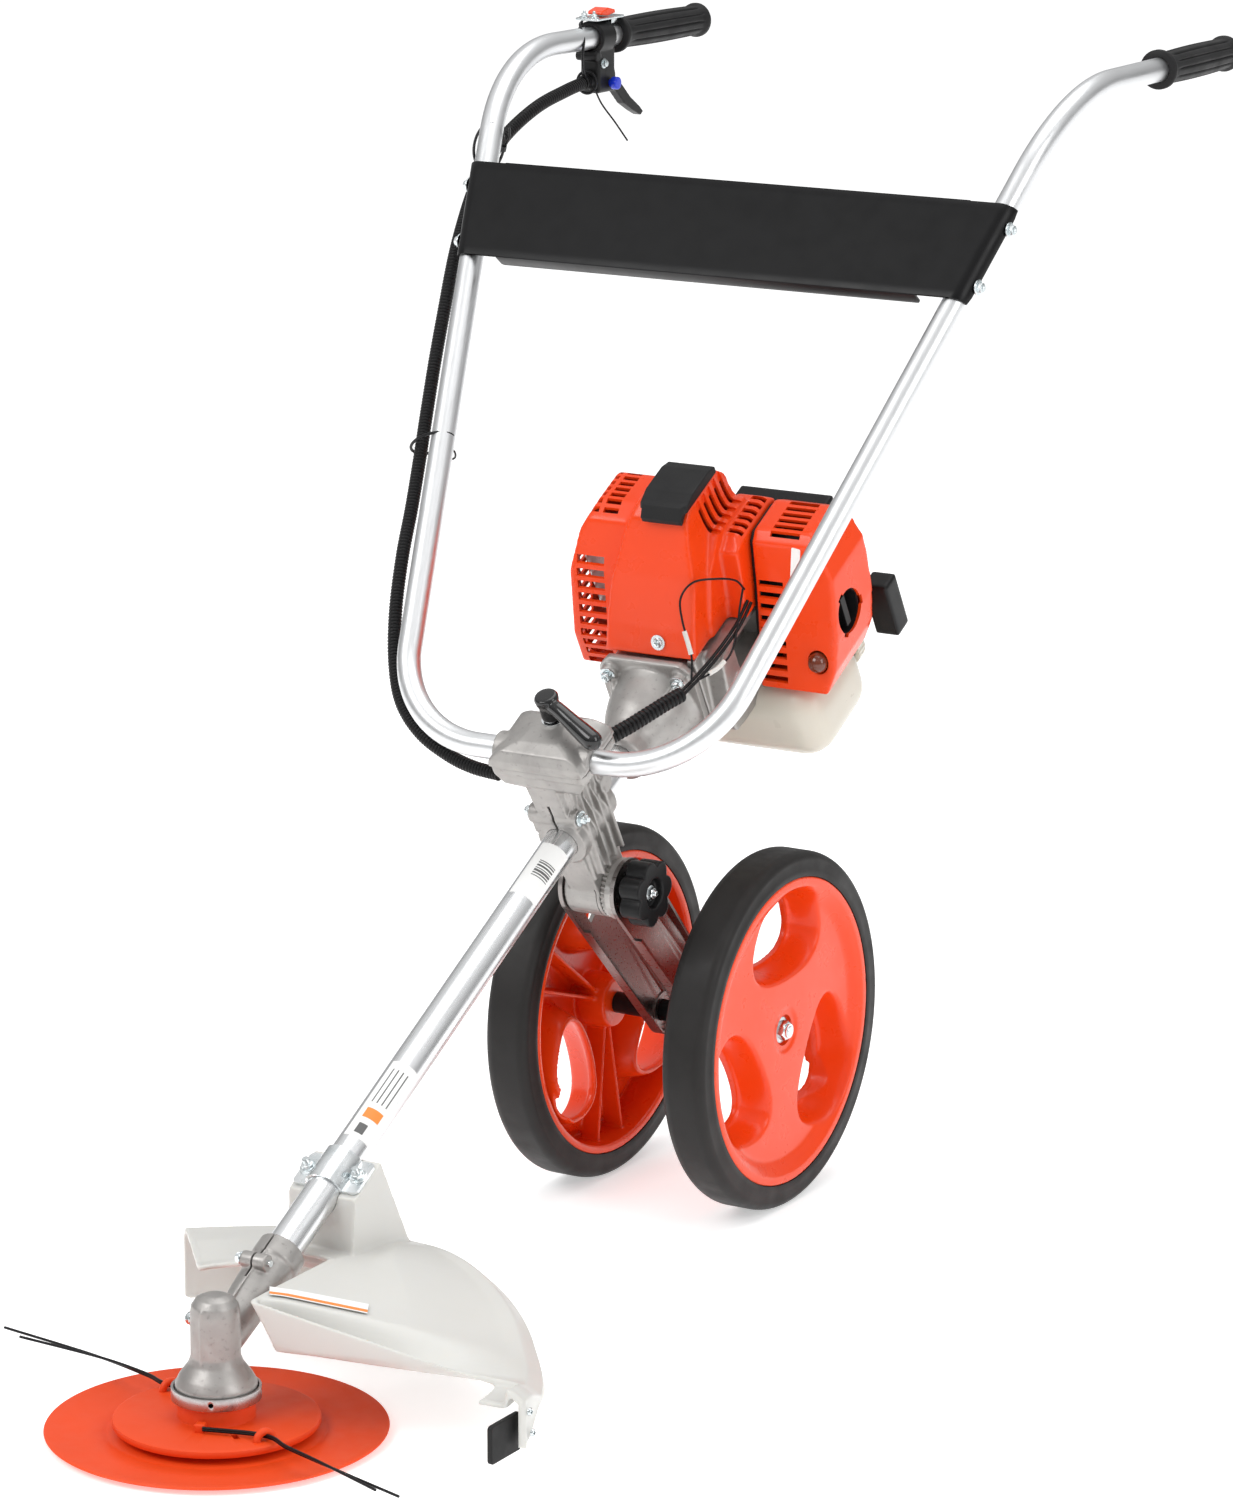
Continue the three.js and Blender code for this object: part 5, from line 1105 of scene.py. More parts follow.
KNOB_LOBES = 7
KNOB_RADIUS = 28.0


def add_knob():
    """The lobed hand knob that tightens the pivot."""
    face = LEFT_ARM_X + ARM_WALL
    outline = []
    for k in range(KNOB_LOBES * 24):
        angle = 2 * math.pi * k / (KNOB_LOBES * 24)
        dip = 1 - abs(math.cos(angle * KNOB_LOBES / 2)) ** 0.8
        radius = KNOB_RADIUS - 0.4 - 6.0 * dip
        outline.append((radius * math.cos(angle), radius * math.sin(angle)))
    grip = prism(outline, "x", face + 5, face + 23.6)
    boss = disc(13, face + GAP + 0.2, face + 8, "x", 64)
    well = lathe([(0, face + 17), (11.5, face + 17), (13.5, face + 30), (0, face + 30)], "x", 64)
    skin = soft(carve(merged(grip), well), 0.75, 7, 0.4)
    skin = fuse(skin, bevelled(boss, 0.5))
    renew("height_knob", ARM, carve(skin, disc(AXLE_BORE, 0, 60, "x", 40)))


def add_axle():
    shank = disc(6, -101, 101, "x", 48)
    parts = [shank]
    for side in (-1, 1):
        near = HALF_TRACK + 8.6
        parts.append(hex_bolt(8.4, 6.0 * side, "x", near * side, 11.0, 2.5))
    renew("axle", ARM, moved(merged(*parts), 0, ARM_LENGTH))
    spacer = ring(AXLE_BORE, 9, -64.9, 64.9, "x", 64)
    renew("axle_spacer", ARM, moved(bevelled(spacer, 0.6), 0, ARM_LENGTH))


# ---------------------------------------------------------------- wheels
WHEEL_HALF = 19.8
RIM_RADIUS = 129.0
HALF_TRACK = 83.5
WINDOW_TURN = math.radians(87)
WINDOW_RADIUS = 84.0
WINDOW_HALF_LENGTH = 44.0
WINDOW_HALF_WIDTH = 31.0
WINDOW_BEND = 0.004
WINDOW_LEAN = math.radians(14)
WINDOW_COUNT = 3
SCOOP_DEPTH = 26.0
WEB_WALL = 3.6


def window_curve(scale, steps=72):
    """A leaf-shaped window round the point (radius, 0), as points in the wheel's plane."""
    points = []
    for k in range(steps):
        t = 2 * math.pi * k / steps
        lengthways = WINDOW_HALF_LENGTH * scale * math.cos(t)
        across = WINDOW_HALF_WIDTH * scale * math.sin(t) * (1 - 0.12 * math.cos(t))
        bend = lengthways ** 2 * WINDOW_BEND
        a = WINDOW_RADIUS + across * math.cos(WINDOW_LEAN) - lengthways * math.sin(WINDOW_LEAN) - bend
        b = lengthways * math.cos(WINDOW_LEAN) + across * math.sin(WINDOW_LEAN)
        points.append((a, b))
    return points


def window_depth(a, b):
    """0 away from every window, rising to 1 at its edge."""
    deepest = 0.0
    for i in range(WINDOW_COUNT):
        angle = -(WINDOW_TURN + i * 2 * math.pi / WINDOW_COUNT)
        x = a * math.cos(angle) - b * math.sin(angle)
        y = a * math.sin(angle) + b * math.cos(angle)
        off = x - WINDOW_RADIUS + WINDOW_BEND * y * y
        lengthways = y * math.cos(WINDOW_LEAN) - off * math.sin(WINDOW_LEAN)
        across = off * math.cos(WINDOW_LEAN) + y * math.sin(WINDOW_LEAN)
        reach = math.hypot(lengthways / WINDOW_HALF_LENGTH, across / WINDOW_HALF_WIDTH)
        deepest = max(deepest, 1 - ease(reach, 0.98, 1.3))
    return deepest


def web_height(a, b):
    """The outer face of the web at a point of the wheel's plane."""
    r = math.hypot(a, b)
    base = mix(8.2, 13.6, ease(r, 14.5, 19.5)) - 1.6 * ease(r, 30, 100) + 6.5 * ease(r, 108, 121)
    return base - SCOOP_DEPTH * window_depth(a, b) * ease(r, 20, 45) * (1 - ease(r, 112, 122))


def web_shape():
    """The dished web as a thin shell, sunk towards its windows and no thinner where it is steep."""
    segments = 240
    radii = [4 + (125 - 4) * k / 70 for k in range(71)]
    outer = []
    inner = []
    for r in radii:
        for k in range(segments):
            angle = 2 * math.pi * k / segments
            a, b = r * math.cos(angle), r * math.sin(angle)
            height = web_height(a, b)
            slope = math.hypot(web_height(a + 1, b) - height, web_height(a, b + 1) - height)
            outer.append((height, a, b))
            inner.append((height - WEB_WALL * math.hypot(1, slope), a, b))
    verts = outer + inner
    faces = []
    count = len(radii)
    for under in (0, 1):
        for i in range(count - 1):
            for k in range(segments):
                j = (k + 1) % segments
                low = (under * count + i) * segments
                faces.append([low + k, low + j, low + segments + j, low + segments + k])
    for i in (0, count - 1):
        for k in range(segments):
            j = (k + 1) % segments
            top, bottom = i * segments, (count + i) * segments
            faces.append([top + k, top + j, bottom + j, bottom + k])
    return mesh_of(verts, faces)


def turned_round(mesh, angle):
    copy = mesh.copy()
    copy.transform(Matrix.Rotation(angle, 4, "X"))
    return copy


def wheel_rim():
    band = lathe([
        (120.5, WHEEL_HALF - 1), (122, WHEEL_HALF), (RIM_RADIUS, WHEEL_HALF), (RIM_RADIUS, -WHEEL_HALF),
        (125, -WHEEL_HALF), (122, -WHEEL_HALF + 1), (120.5, WHEEL_HALF - 1)], "x", 192)
    barrel = lathe([(4, 12), (22, 12), (24, 4), (21, -18), (4, -18), (4, 12)], "x", 96)
    windows = [WINDOW_TURN + i * 2 * math.pi / WINDOW_COUNT for i in range(WINDOW_COUNT)]
    holes = [turned_round(prism(window_curve(1.0), "x", -30, 30), angle) for angle in windows]
    ribs = [turned_round(block((-9, 9), (18, 122), (-1.4, 1.4)), angle + math.pi / 3 + side)
            for angle in windows for side in (-0.16, 0.16)]
    collar = carve(prism(window_curve(1.09), "x", -18, -12), prism(window_curve(0.99), "x", -20, 20))
    collars = [turned_round(collar, angle) for angle in windows]
    web = carve(web_shape(), *holes)
    skin = soft(merged(band, barrel, web, *ribs, *collars), 1.2, 4, 0.3)
    return carve(skin, disc(AXLE_BORE, -30, 30, "x", 48), disc(13, 8.3, 30, "x", 64))


def tyre():
    """A solid rubber tyre with rounded shoulders and a seat bead."""
    seat = RIM_RADIUS + GAP
    half = WHEEL_HALF
    profile = [(seat, -half), (seat + 1.5, -half - 0.4), (seat + 5, -half - 0.5), (seat + 6, -half - 0.1)]
    for side in (-1, 1):
        arc = []
        for k in range(13):
            angle = math.pi / 2 * k / 12
            arc.append((142.5 + 7.5 * math.sin(angle), side * (half - 9.5 + 9.5 * math.cos(angle))))
        profile += arc if side < 0 else arc[::-1]
    profile += [(seat + 6, half + 0.1), (seat + 5, half + 0.5), (seat + 1.5, half + 0.4), (seat, half),
                (seat, -half)]
    return lathe(profile, "x", 200)


def add_wheels():
    rim = wheel_rim()
    rubber_ring = tyre()
    for side, sign in (("left", 1), ("right", -1)):
        face = Matrix.Rotation(0 if sign > 0 else math.pi, 4, "Z")
        place = MACHINE @ Matrix.Translation((sign * HALF_TRACK, AXLE.y * 1000, AXLE.z * 1000)) @ face
        renew(f"wheel_rim_{side}", place, rim, angle=50)
        renew(f"tyre_{side}", place, rubber_ring)


for function in (add_bracket, add_clamp_cap, add_clamp_lever, add_arms, add_pivot, add_knob,
                 add_axle, add_wheels):
    function()


# ---------------------------------------------------------------- handlebar
BAR_FOOT = (MACHINE.inverted() @ BARS).translation
BAR_FOOT_HALF_WIDTH = 138.6
BAR_SPLAY = 0.2055
BAR_LEG = 623.0
BAR_TOP_Y = BAR_FOOT.y + BAR_LEG * math.cos(BAR_SLOPE)
BAR_TOP_Z = BAR_FOOT.z + BAR_LEG * math.sin(BAR_SLOPE)
BAR_TOP_HALF_WIDTH = BAR_FOOT_HALF_WIDTH + BAR_SPLAY * BAR_LEG
GRIP_HALF_WIDTH = 258.0
GRIP_START_Y = 1003.0
GRIP_END_Y = 1146.0
GRIP_RADIUS = 13.5


def bent_route(corners, step=3.0):
    """Straight runs joined by true arcs, as points about one step apart. Corners are (point, radius)."""
    route = [corners[0][0]]
    for k in range(1, len(corners) - 1):
        corner, radius = corners[k]
        back = (corners[k - 1][0] - corner).normalized()
        ahead = (corners[k + 1][0] - corner).normalized()
        half = back.angle(ahead) / 2
        reach = radius / math.tan(half)
        centre = corner + (back + ahead).normalized() * radius / math.sin(half)
        start = corner + back * reach - centre
        end = corner + ahead * reach - centre
        for i in range(41):
            route.append(centre + start.slerp(end, i / 40).normalized() * radius if 0 < i < 40
                         else centre + (start if i == 0 else end))
    route.append(corners[-1][0])
    return even(route, step)


def add_handlebar():
    def corner(side, name):
        half, y, z = {
            "foot": (BAR_FOOT_HALF_WIDTH, BAR_FOOT.y, BAR_FOOT.z),
            "top": (BAR_TOP_HALF_WIDTH, BAR_TOP_Y, BAR_TOP_Z),
            "grip": (GRIP_HALF_WIDTH, GRIP_END_Y - 4, BAR_TOP_Z),
        }[name]
        return Vector((side * half, y, z))
    route = bent_route([
        (corner(-1, "grip"), 0), (corner(-1, "top"), 150), (corner(-1, "foot"), 95),
        (corner(1, "foot"), 95), (corner(1, "top"), 150), (corner(1, "grip"), 0)])
    renew("handlebar_tube", MACHINE, tube(route, BAR_RADIUS, 40))


def grip_place(side):
    """Local Y runs along the grip to its end, on the given side."""
    lean = math.atan((BAR_TOP_HALF_WIDTH - GRIP_HALF_WIDTH) / (GRIP_END_Y - BAR_TOP_Y))
    return MACHINE @ Matrix.Translation((side * GRIP_HALF_WIDTH, GRIP_END_Y, BAR_TOP_Z)) @ Matrix.Rotation(
        side * lean, 4, "Z")


def add_grips():
    """Rubber grips with lengthways grooves between an inner flange and a rounded end."""
    length = GRIP_END_Y - GRIP_START_Y
    grooves = 12

    def radius_at(r, h, angle):
        if r < GRIP_RADIUS - 2.4:
            return r
        along = ease(h, -length + 12, -length + 22) * (1 - ease(h, -16, -9))
        dip = max(0.0, math.cos(angle * grooves)) ** 3
        return r - 1.5 * dip * along
    for side, sign in (("left", 1), ("right", -1)):
        profile = [(10.3, -length), (GRIP_RADIUS + 2.2, -length), (GRIP_RADIUS + 3, -length + 1),
                   (GRIP_RADIUS + 3, -length + 4), (GRIP_RADIUS + 1.6, -length + 6)]
        for k in range(30):
            t = k / 29
            swell = 0.9 * math.sin(math.pi * t) - 0.3
            profile.append((GRIP_RADIUS + swell, -length + 8 + (length - 18) * t))
        profile += [(GRIP_RADIUS + 1.4, -8), (GRIP_RADIUS + 1.8, -6), (GRIP_RADIUS + 1.6, -3.4),
                    (GRIP_RADIUS - 0.5, -1.2), (GRIP_RADIUS - 4, 0), (0, 0), (0, -3.4), (10.3, -3.4),
                    (10.3, -length)]
        renew(f"grip_{side}", grip_place(sign), lathe(profile, "y", 144, radius_at), angle=60)


PANEL_LOW, PANEL_HIGH = 425.0, 512.0
PANEL_NEAR = BAR_RADIUS + 0.5
PANEL_FAR = PANEL_NEAR + 2.0
PANEL_EDGE = 6.0
PANEL_EDGE_IN = 2.2
PANEL_BOLT_INSET = 17.0


def leg_x(s):
    return BAR_FOOT_HALF_WIDTH + BAR_SPLAY * s


def panel_section(s, steps=18):
    """The sheet's outline at one height up the legs, with its ends rolled round them."""
    low_edge = 1 - ease(s, PANEL_LOW, PANEL_LOW + PANEL_EDGE)
    high_edge = ease(s, PANEL_HIGH - PANEL_EDGE, PANEL_HIGH)
    sweep = 92 - (PANEL_EDGE_IN * low_edge + PANEL_EDGE_IN * high_edge) * 4
    outer, inner = [], []
    for side in (-1, 1):
        angles = [math.radians(sweep * k / steps) for k in range(steps + 1)]
        for angle in angles[::side]:
            x = side * leg_x(s)
            outer.append((x + side * PANEL_FAR * math.sin(angle), PANEL_FAR * math.cos(angle)))
            inner.append((x + side * PANEL_NEAR * math.sin(angle), PANEL_NEAR * math.cos(angle)))
    return [(x, s, z) for x, z in outer + inner[::-1]]


def panel_sheet():
    sections = [panel_section(PANEL_LOW + (PANEL_HIGH - PANEL_LOW) * k / 12) for k in range(13)]
    return skinned(sections)


def add_panel():
    """A black pressed sheet across the legs: rolled ends round each leg, a lower and an upper flange."""
    flanges = []
    for s, depth, short in ((PANEL_LOW + 0.4, 14.0, 30), (PANEL_HIGH - 0.4, 7.0, 26)):
        half = leg_x(s) - short
        top = PANEL_FAR - 0.2
        corners = [(-half, top + 4), (half, top + 4), (half, top - depth), (-half, top - depth)]
        shape = rounded_outline(corners, 3)
        flange = prism(shape, "y", s - 1, s + 1)
        flanges.append(clip(flange, block((-400, 400), (0, 900), (-60, top))))
    renew("cross_panel", BARS, bevelled(fuse(panel_sheet(), *flanges), 0.4, 2, 50))
    bolts = []
    for side in (-1, 1):
        for s in (PANEL_LOW + PANEL_BOLT_INSET, PANEL_HIGH - PANEL_BOLT_INSET):
            head = hex_bolt(4.4, 4.0 * side, "x", side * PANEL_FAR, 6.6, 1.2)
            bolts.append(moved(head, side * leg_x(s), s, 0))
    show("panel_bolts", "handlebar", "zinc_plated", BARS, merged(*bolts))


THROTTLE_Y = 976.0
THROTTLE_X = -mix(BAR_TOP_HALF_WIDTH, GRIP_HALF_WIDTH, (THROTTLE_Y - BAR_TOP_Y) / (GRIP_END_Y - BAR_TOP_Y))


def add_throttle():
    x, y, z = THROTTLE_X, THROTTLE_Y, BAR_TOP_Z
    collar = moved(disc(BAR_RADIUS + 4.6, y - 11, y + 11, "y", 64), x, 0, z)
    body = bevelled(block((x - 9.5, x + 9.5), (y - 12, y + 17), (872, z - 6)), 3, 4)
    cheek = moved(disc(9, -9.6, 9.6, "x", 48), x, y + 8, 886)
    inlet = moved(disc(6.6, y - 24, y - 10, "y", 32), x, 0, 882)
    lug = moved(disc(4.5, -10.5, 10.5, "x", 32), x, y - 13.5, 905)
    skin = soft(merged(collar, body, cheek, inlet, lug), 0.7, 4, 0.4)
    tools = [block((x - 5, x + 5), (y - 2, y + 40), (860, 901)),
             moved(disc(BAR_RADIUS + 0.7, y - 40, y + 40, "y", 64), x, 0, z),
             moved(disc(3.4, 0, 20, "x", 32), x, y + 8, 880),
             moved(ring(6.0, 9, y - 19, y - 18, "y", 32), x, 0, 882),
             moved(ring(6.0, 9, y - 22, y - 21, "y", 32), x, 0, 882)]
    renew("throttle_body", MACHINE, carve(skin, *tools))
    hub = disc(6.5, -4.2, 4.2, "x", 48)
    blade = prism([(-3, -5), (4, -6), (18, -14), (32, -26), (48, -34), (60, -39), (64, -36), (58, -31),
                   (42, -21), (28, -9), (14, 1), (4, 6)], "x", -4.2, 4.2)
    trigger = soft(merged(hub, blade), 0.6, 5, 0.5)
    renew("throttle_trigger", MACHINE, moved(trigger, x, y + 10, 884))
    stem = disc(3, 6.6, 13, "x", 32)
    button = merged(stem, bevelled(disc(5.5, 11.6, 18, "x", 48), 1.2, 4))
    renew("lock_button", MACHINE, moved(button, x, y + 8, 880))
    shape = rounded_outline([(x - 12, y - 18), (x + 12, y - 18), (x + 12, y + 30), (x - 12, y + 30)], 4)
    strap = prism(shape, "z", z + 15.4, z + 17.4)
    drum = block((x - 8, x + 8), (y + 12.6, y + 22), (z + 11, z + 16))
    studs = [moved(hex_bolt(3.0, 2.6, "z", z + 17.4, 4.4, 2.4), x + dx, y - 12) for dx in (-5, 5)]
    side = moved(hex_bolt(3.2, 2.6, "x", 9.5, 4.4, 0), x, y - 4, 898)
    renew("switch_bracket", MACHINE, merged(bevelled(fuse(strap, drum), 0.4), *studs, side))
    rocker = prism([
        (y + 8, z + 17.9), (y + 21, z + 19.6), (y + 20, z + 22.5), (y + 9, z + 25), (y - 2, z + 22.5),
        (y - 3, z + 19.6)], "x", x - 7, x + 7)
    renew("stop_switch", MACHINE, soft(rocker, 0.5, 5, 0.5))


# ---------------------------------------------------------------- sleeves, wires and ties
THROTTLE_SLEEVE = [
    (-262, 951, 882), (-263, 925, 878), (-266, 885, 869), (-270, 846, 852), (-270, 812, 832),
    (-266, 782, 810), (-258, 752, 786), (-250, 724, 758), (-242, 697, 722), (-234, 670, 684),
    (-225, 643, 646), (-214, 614, 610), (-203, 584, 574), (-194, 556, 540), (-184, 530, 500),
    (-172, 510, 464), (-154, 492, 436), (-128, 480, 416), (-98, 474, 403), (-72, 470, 397), (-46, 468, 395)]
ENGINE_SLEEVE = [(22, 56, 56), (27, 68, 56), (33, 84, 53), (39, 102, 50), (45, 120, 47), (50, 137, 43)]
ENGINE_LEAD = [(50, 135, 43.5), (54, 158, 43), (60, 184, 46), (65, 208, 51), (67, 222, 55), (67, 238, 59)]


def corrugated(route, pitch, crest, trough, sides=20):
    """A ribbed sleeve: five rings to each rib, along a smooth route."""
    points = spline(route, pitch / 5)
    heights = [trough, mix(trough, crest, 0.75), crest, crest, mix(trough, crest, 0.75)]
    return tube(points, lambda i: heights[i % 5], sides)


def wire(points, radius, sides=12):
    return tube(spline(points, 2.0), radius, sides)


def tie(centre, across, along, out, wide, thick=1.3):
    """A cable tie's strap: a closed loop round an oval."""
    loop = []
    for k in range(48):
        angle = 2 * math.pi * k / 48
        offset = Vector(across) * out * math.cos(angle)
        loop.append(Vector(centre) + offset + Vector(along) * wide * math.sin(angle))
    return tube(loop, thick, 10, closed=True)


def add_sleeves():
    renew("throttle_sleeve", MACHINE, corrugated(THROTTLE_SLEEVE, 2.9, 5.7, 4.7), angle=70)
    sleeve = corrugated(ENGINE_SLEEVE, 4.2, 6.4, 4.9, 24)
    leads = []
    for dx, dv in ((-1.5, 0.8), (1.5, -0.6)):
        leads.append(wire([(x + dx, u, v + dv) for x, u, v in ENGINE_LEAD], 1.45))
    renew("engine_sleeve", SHAFT, merged(sleeve, *leads), angle=70)
    loops = [
        wire([(54, 150, 46), (50, 166, 62), (42, 178, 84), (38, 190, 98), (44, 204, 104), (56, 218, 98),
              (64, 232, 86), (66, 238, 72)], 0.9),
        wire([(56, 156, 43), (62, 172, 40), (68, 190, 42), (69, 206, 52), (68, 222, 66), (66, 236, 74)], 0.9)]
    show("engine_wires", "machine", "black_plastic", SHAFT, merged(*loops), (), "wire_black")
    plugs = [tube(spline([(50, 165.5, 61.5), (47, 170, 70), (44, 174, 78)], 1.5), 2.0, 16),
             tube(spline([(60, 167, 41), (63.5, 176, 40), (66, 184, 41)], 1.5), 2.0, 16)]
    show("wire_connectors", "machine", "guard_plastic", SHAFT, merged(*plugs))


def add_ties():
    """Three cable ties hold the sleeve to the bar. The upper one and the throttle's have long tails."""
    ties = []
    place = MACHINE.inverted() @ BARS
    for s, tail in ((262, 1), (548, 0)):
        leg = place @ Vector((-(BAR_FOOT_HALF_WIDTH + BAR_SPLAY * s), s, 0))
        near = min(spline(THROTTLE_SLEEVE, 6), key=lambda p: (p - leg).length)
        middle = (leg + near) / 2
        across = (near - leg)
        reach = across.length / 2 + 9.0
        across.normalize()
        bar_dir = Vector((-BAR_SPLAY, math.cos(BAR_SLOPE), math.sin(BAR_SLOPE))).normalized()
        third = across.cross(bar_dir).normalized()
        ties.append(tie(middle, across, third, reach, 12.5))
        lock = middle + third * 12.5 - across * 2
        ties.append(tube([lock - across * 3.2, lock + across * 3.2], 2.6, 8))
        if tail:
            ties.append(wire([lock, lock + third * 8 - across * 2, lock + third * 16 + across * 6,
                              lock + third * 13 + across * 16, lock + third * 4 + across * 22], 0.9))
        else:
            ties.append(wire([lock, lock - across * 12 + third * 3, lock - across * 26 + third * 2], 1.0))
    x, y, z = THROTTLE_X, THROTTLE_Y, 882
    ring_points = [Vector((x + 9.6 * math.cos(a), y - 16, z + 9.6 * math.sin(a))) for a in
                   [2 * math.pi * k / 32 for k in range(32)]]
    ties.append(tube(ring_points, 1.2, 10, closed=True))
    ties.append(wire([(x + 8, y - 16, z - 5), (x + 14, y - 14, z - 18), (x + 24, y - 8, z - 34),
                      (x + 33, y - 2, z - 50)], 0.8))
    show("cable_ties", "handlebar", "black_plastic", MACHINE, merged(*ties), (), "wire_black")
    switch_wire = wire([(x - 6, y - 14, BAR_TOP_Z + 14), (x - 2, y - 24, BAR_TOP_Z + 12),
                        (x + 8, y - 34, BAR_TOP_Z + 2), (x + 9, y - 38, BAR_TOP_Z - 12),
                        (x + 5, y - 30, BAR_TOP_Z - 26), (x + 3, y - 22, BAR_TOP_Z - 33)], 1.2)
    show("switch_wire", "handlebar", "black_plastic", MACHINE, switch_wire, (), "wire_black")


for function in (add_handlebar, add_grips, add_panel, add_throttle, add_sleeves, add_ties):
    function()


# ---------------------------------------------------------------- clutch housing and crankcase
CYLINDER_U = 236.0
COVER_WALL = 2.5


def add_clutch_housing():
    """A flared cast bell, its four-cornered flange and the bolts that hold it."""
    bell = lathe([(14.3, 98), (22, 98), (23, 99), (23, 111), (24, 117), (27, 125), (31, 134), (34.5, 146),
                  (37, 158), (40, 166), (42, 172), (30, 172), (30, 136), (24, 130), (24, 119),
                  (14.3, 119), (14.3, 98)], "y", 96)
    outline = rounded_outline([
        (-44, -26), (-30, -38), (30, -38), (44, -26), (44, 36), (34, 46), (-34, 46), (-44, 36)], 7)
    plate = carve(prism(outline, "y", 165, 172), disc(33, 160, 180, "y", 64))
    corners = [(-33, 33), (33, 33), (-33, -26), (33, -26)]
    bosses = [moved(disc(7.4, 159, 172, "y", 32), x, 0, v) for x, v in corners]
    ribs = [turned(prism([(140, 30), (171, 38), (171, 50), (165, 50)], "x", -1.6, 1.6), turn, "Y")
            for turn in (45, 135, 225, 315)]
    skin = soft(merged(bell, plate, *bosses, *ribs), 1.1, 5, 0.4)
    core = disc(30, 136, 180, "y", 96)
    tunnel = disc(14.3, 90, 140, "y", 64)
    renew("clutch_housing", SHAFT, carve(skin, core, tunnel))
    bolts = [moved(hex_bolt(4.6, -4.6, "y", 159, 7.0, 2.0), x, 0, v) for x, v in corners]
    show("flange_bolts", "machine", "zinc_plated", SHAFT, merged(*bolts))


def add_crankcase():
    """The cast case behind the flange with the fan housing's ear that shows beside the cover."""
    outline = rounded_outline([(-38, -36), (38, -36), (38, 40), (-38, 40)], 9)
    main = prism(outline, "y", 172.4, 262)
    ear = prism(rounded_outline([(176, -30), (196, -32), (262, -30), (262, 46), (214, 46), (186, 40)], 5),
                "x", 30, 62)
    rib = prism(rounded_outline([(174, -34), (180, -34), (192, 44), (184, 46), (174, 44)], 2), "x", 36, 44)
    lip = prism(rounded_outline([(176, -8), (262, -8), (262, -4), (176, -4)], 1.5), "x", 58, 63.5)
    boss = moved(disc(9, 200, 232, "y", 32), 57, 0, 8)
    foot = moved(disc(7, 190, 250, "y", 24), 52, 0, -30)
    skin = soft(merged(main, ear, rib, lip, boss, foot), 1.3, 5, 0.4)
    tools = [disc(26, 160, 270, "y", 64), moved(disc(16.6, 0, 60, "z", 48), 0, CYLINDER_U, 0),
             block((44, 70), (206, 250), (14, 40)), moved(disc(46, 252, 280, "y", 64))]
    renew("crankcase", SHAFT, carve(skin, *tools))
    ear_bolt = moved(hex_bolt(5.0, -4.8, "y", 199, 7.6, 2.0), 57, 0, 8)
    show("case_bolts", "machine", "zinc_plated", SHAFT, ear_bolt)


def add_cylinder():
    profile = [(16, 40.3), (22, 40.3), (22, 44), (18, 46)]
    for k in range(8):
        v = 48 + k * 6.4
        profile += [(18, v), (23.2, v + 0.6), (23.4, v + 1.2), (23.2, v + 1.8), (18, v + 2.4)]
    profile += [(18, 100), (12, 104), (0, 104), (0, 98), (16, 96), (16, 40.3)]
    fins = lathe(profile, "z", 48)
    renew("cylinder", SHAFT, moved(fins, 0, CYLINDER_U, 0))
    can = soft(block((-69, -33), (223, 275), (45, 107)), 1.5, 6, 0.4)
    seam = block((-69.6, -32.6), (247.5, 250.5), (44.6, 107.4))
    stub = moved(disc(8, -34, -26, "x", 32), 0, CYLINDER_U, 70)
    renew("muffler", SHAFT, merged(can, bevelled(seam, 0.4), stub))


# ---------------------------------------------------------------- engine cover
# COVER_FRONT and RIDGE are front outlines as (across, square to the pipe). The three bays are side profiles
# as (along the pipe, square to it).
COVER_FRONT = [(-79, 0), (65, 0), (65, 106), (54, 118), (44, 150), (38, 160), (-42, 160), (-56, 143),
               (-70, 124), (-78, 96)]
RIGHT_BAY = [(190, 14), (300, 14), (300, 126), (288, 139), (252, 141), (234, 133), (211, 98), (190, 46)]
MIDDLE_BAY = [(173, 46), (300, 46), (300, 140), (290, 151), (244, 151), (231, 143), (205, 104), (184, 70)]
LEFT_BAY = [(224, 30), (316, 30), (316, 104), (308, 112), (258, 112), (244, 103), (238, 74)]
RIDGE = [(-40, 40), (46, 40), (45, 96), (37, 128), (34, 156), (-12, 156), (-22, 134), (-34, 96)]


def inset(points, wall):
    """A counter-clockwise outline moved inwards by a wall."""
    out = []
    for k in range(len(points)):
        here = Vector(points[k])
        back = (here - Vector(points[k - 1])).normalized()
        ahead = (Vector(points[(k + 1) % len(points)]) - here).normalized()
        normal = (Vector((-back.y, back.x)) + Vector((-ahead.y, ahead.x))).normalized()
        lean = normal.dot(Vector((-back.y, back.x)))
        out.append(tuple(here + normal * wall / max(lean, 0.4)))
    return out


def cover_solid(wall):
    def bay(profile, low, high):
        return prism(inset(profile, wall), "x", low + wall, high - wall)
    front = prism(inset(COVER_FRONT, wall), "y", 150, 340)
    right = clip(bay(RIGHT_BAY, -79, -20), front)
    ridge = prism(inset(RIDGE, wall), "y", 150, 340)
    middle = clip(bay(MIDDLE_BAY, -60, 60), ridge, front)
    left = clip(bay(LEFT_BAY, 34, 65), front)
    bridge = clip(bay([(200, 30), (300, 30), (300, 118), (250, 118), (224, 96), (206, 60)], -30, 48), front)
    return merged(right, middle, left, bridge)


def front_at(marks, v):
    """Where a front wall that climbs through the marks is at a height."""
    (u0, v0), (u1, v1) = next(pair for pair in zip(marks, marks[1:]) if v < pair[1][1])
    return mix(u0, u1, (v - v0) / (v1 - v0))


RIGHT_BAY_FRONT = [RIGHT_BAY[0], *RIGHT_BAY[:4:-1]]


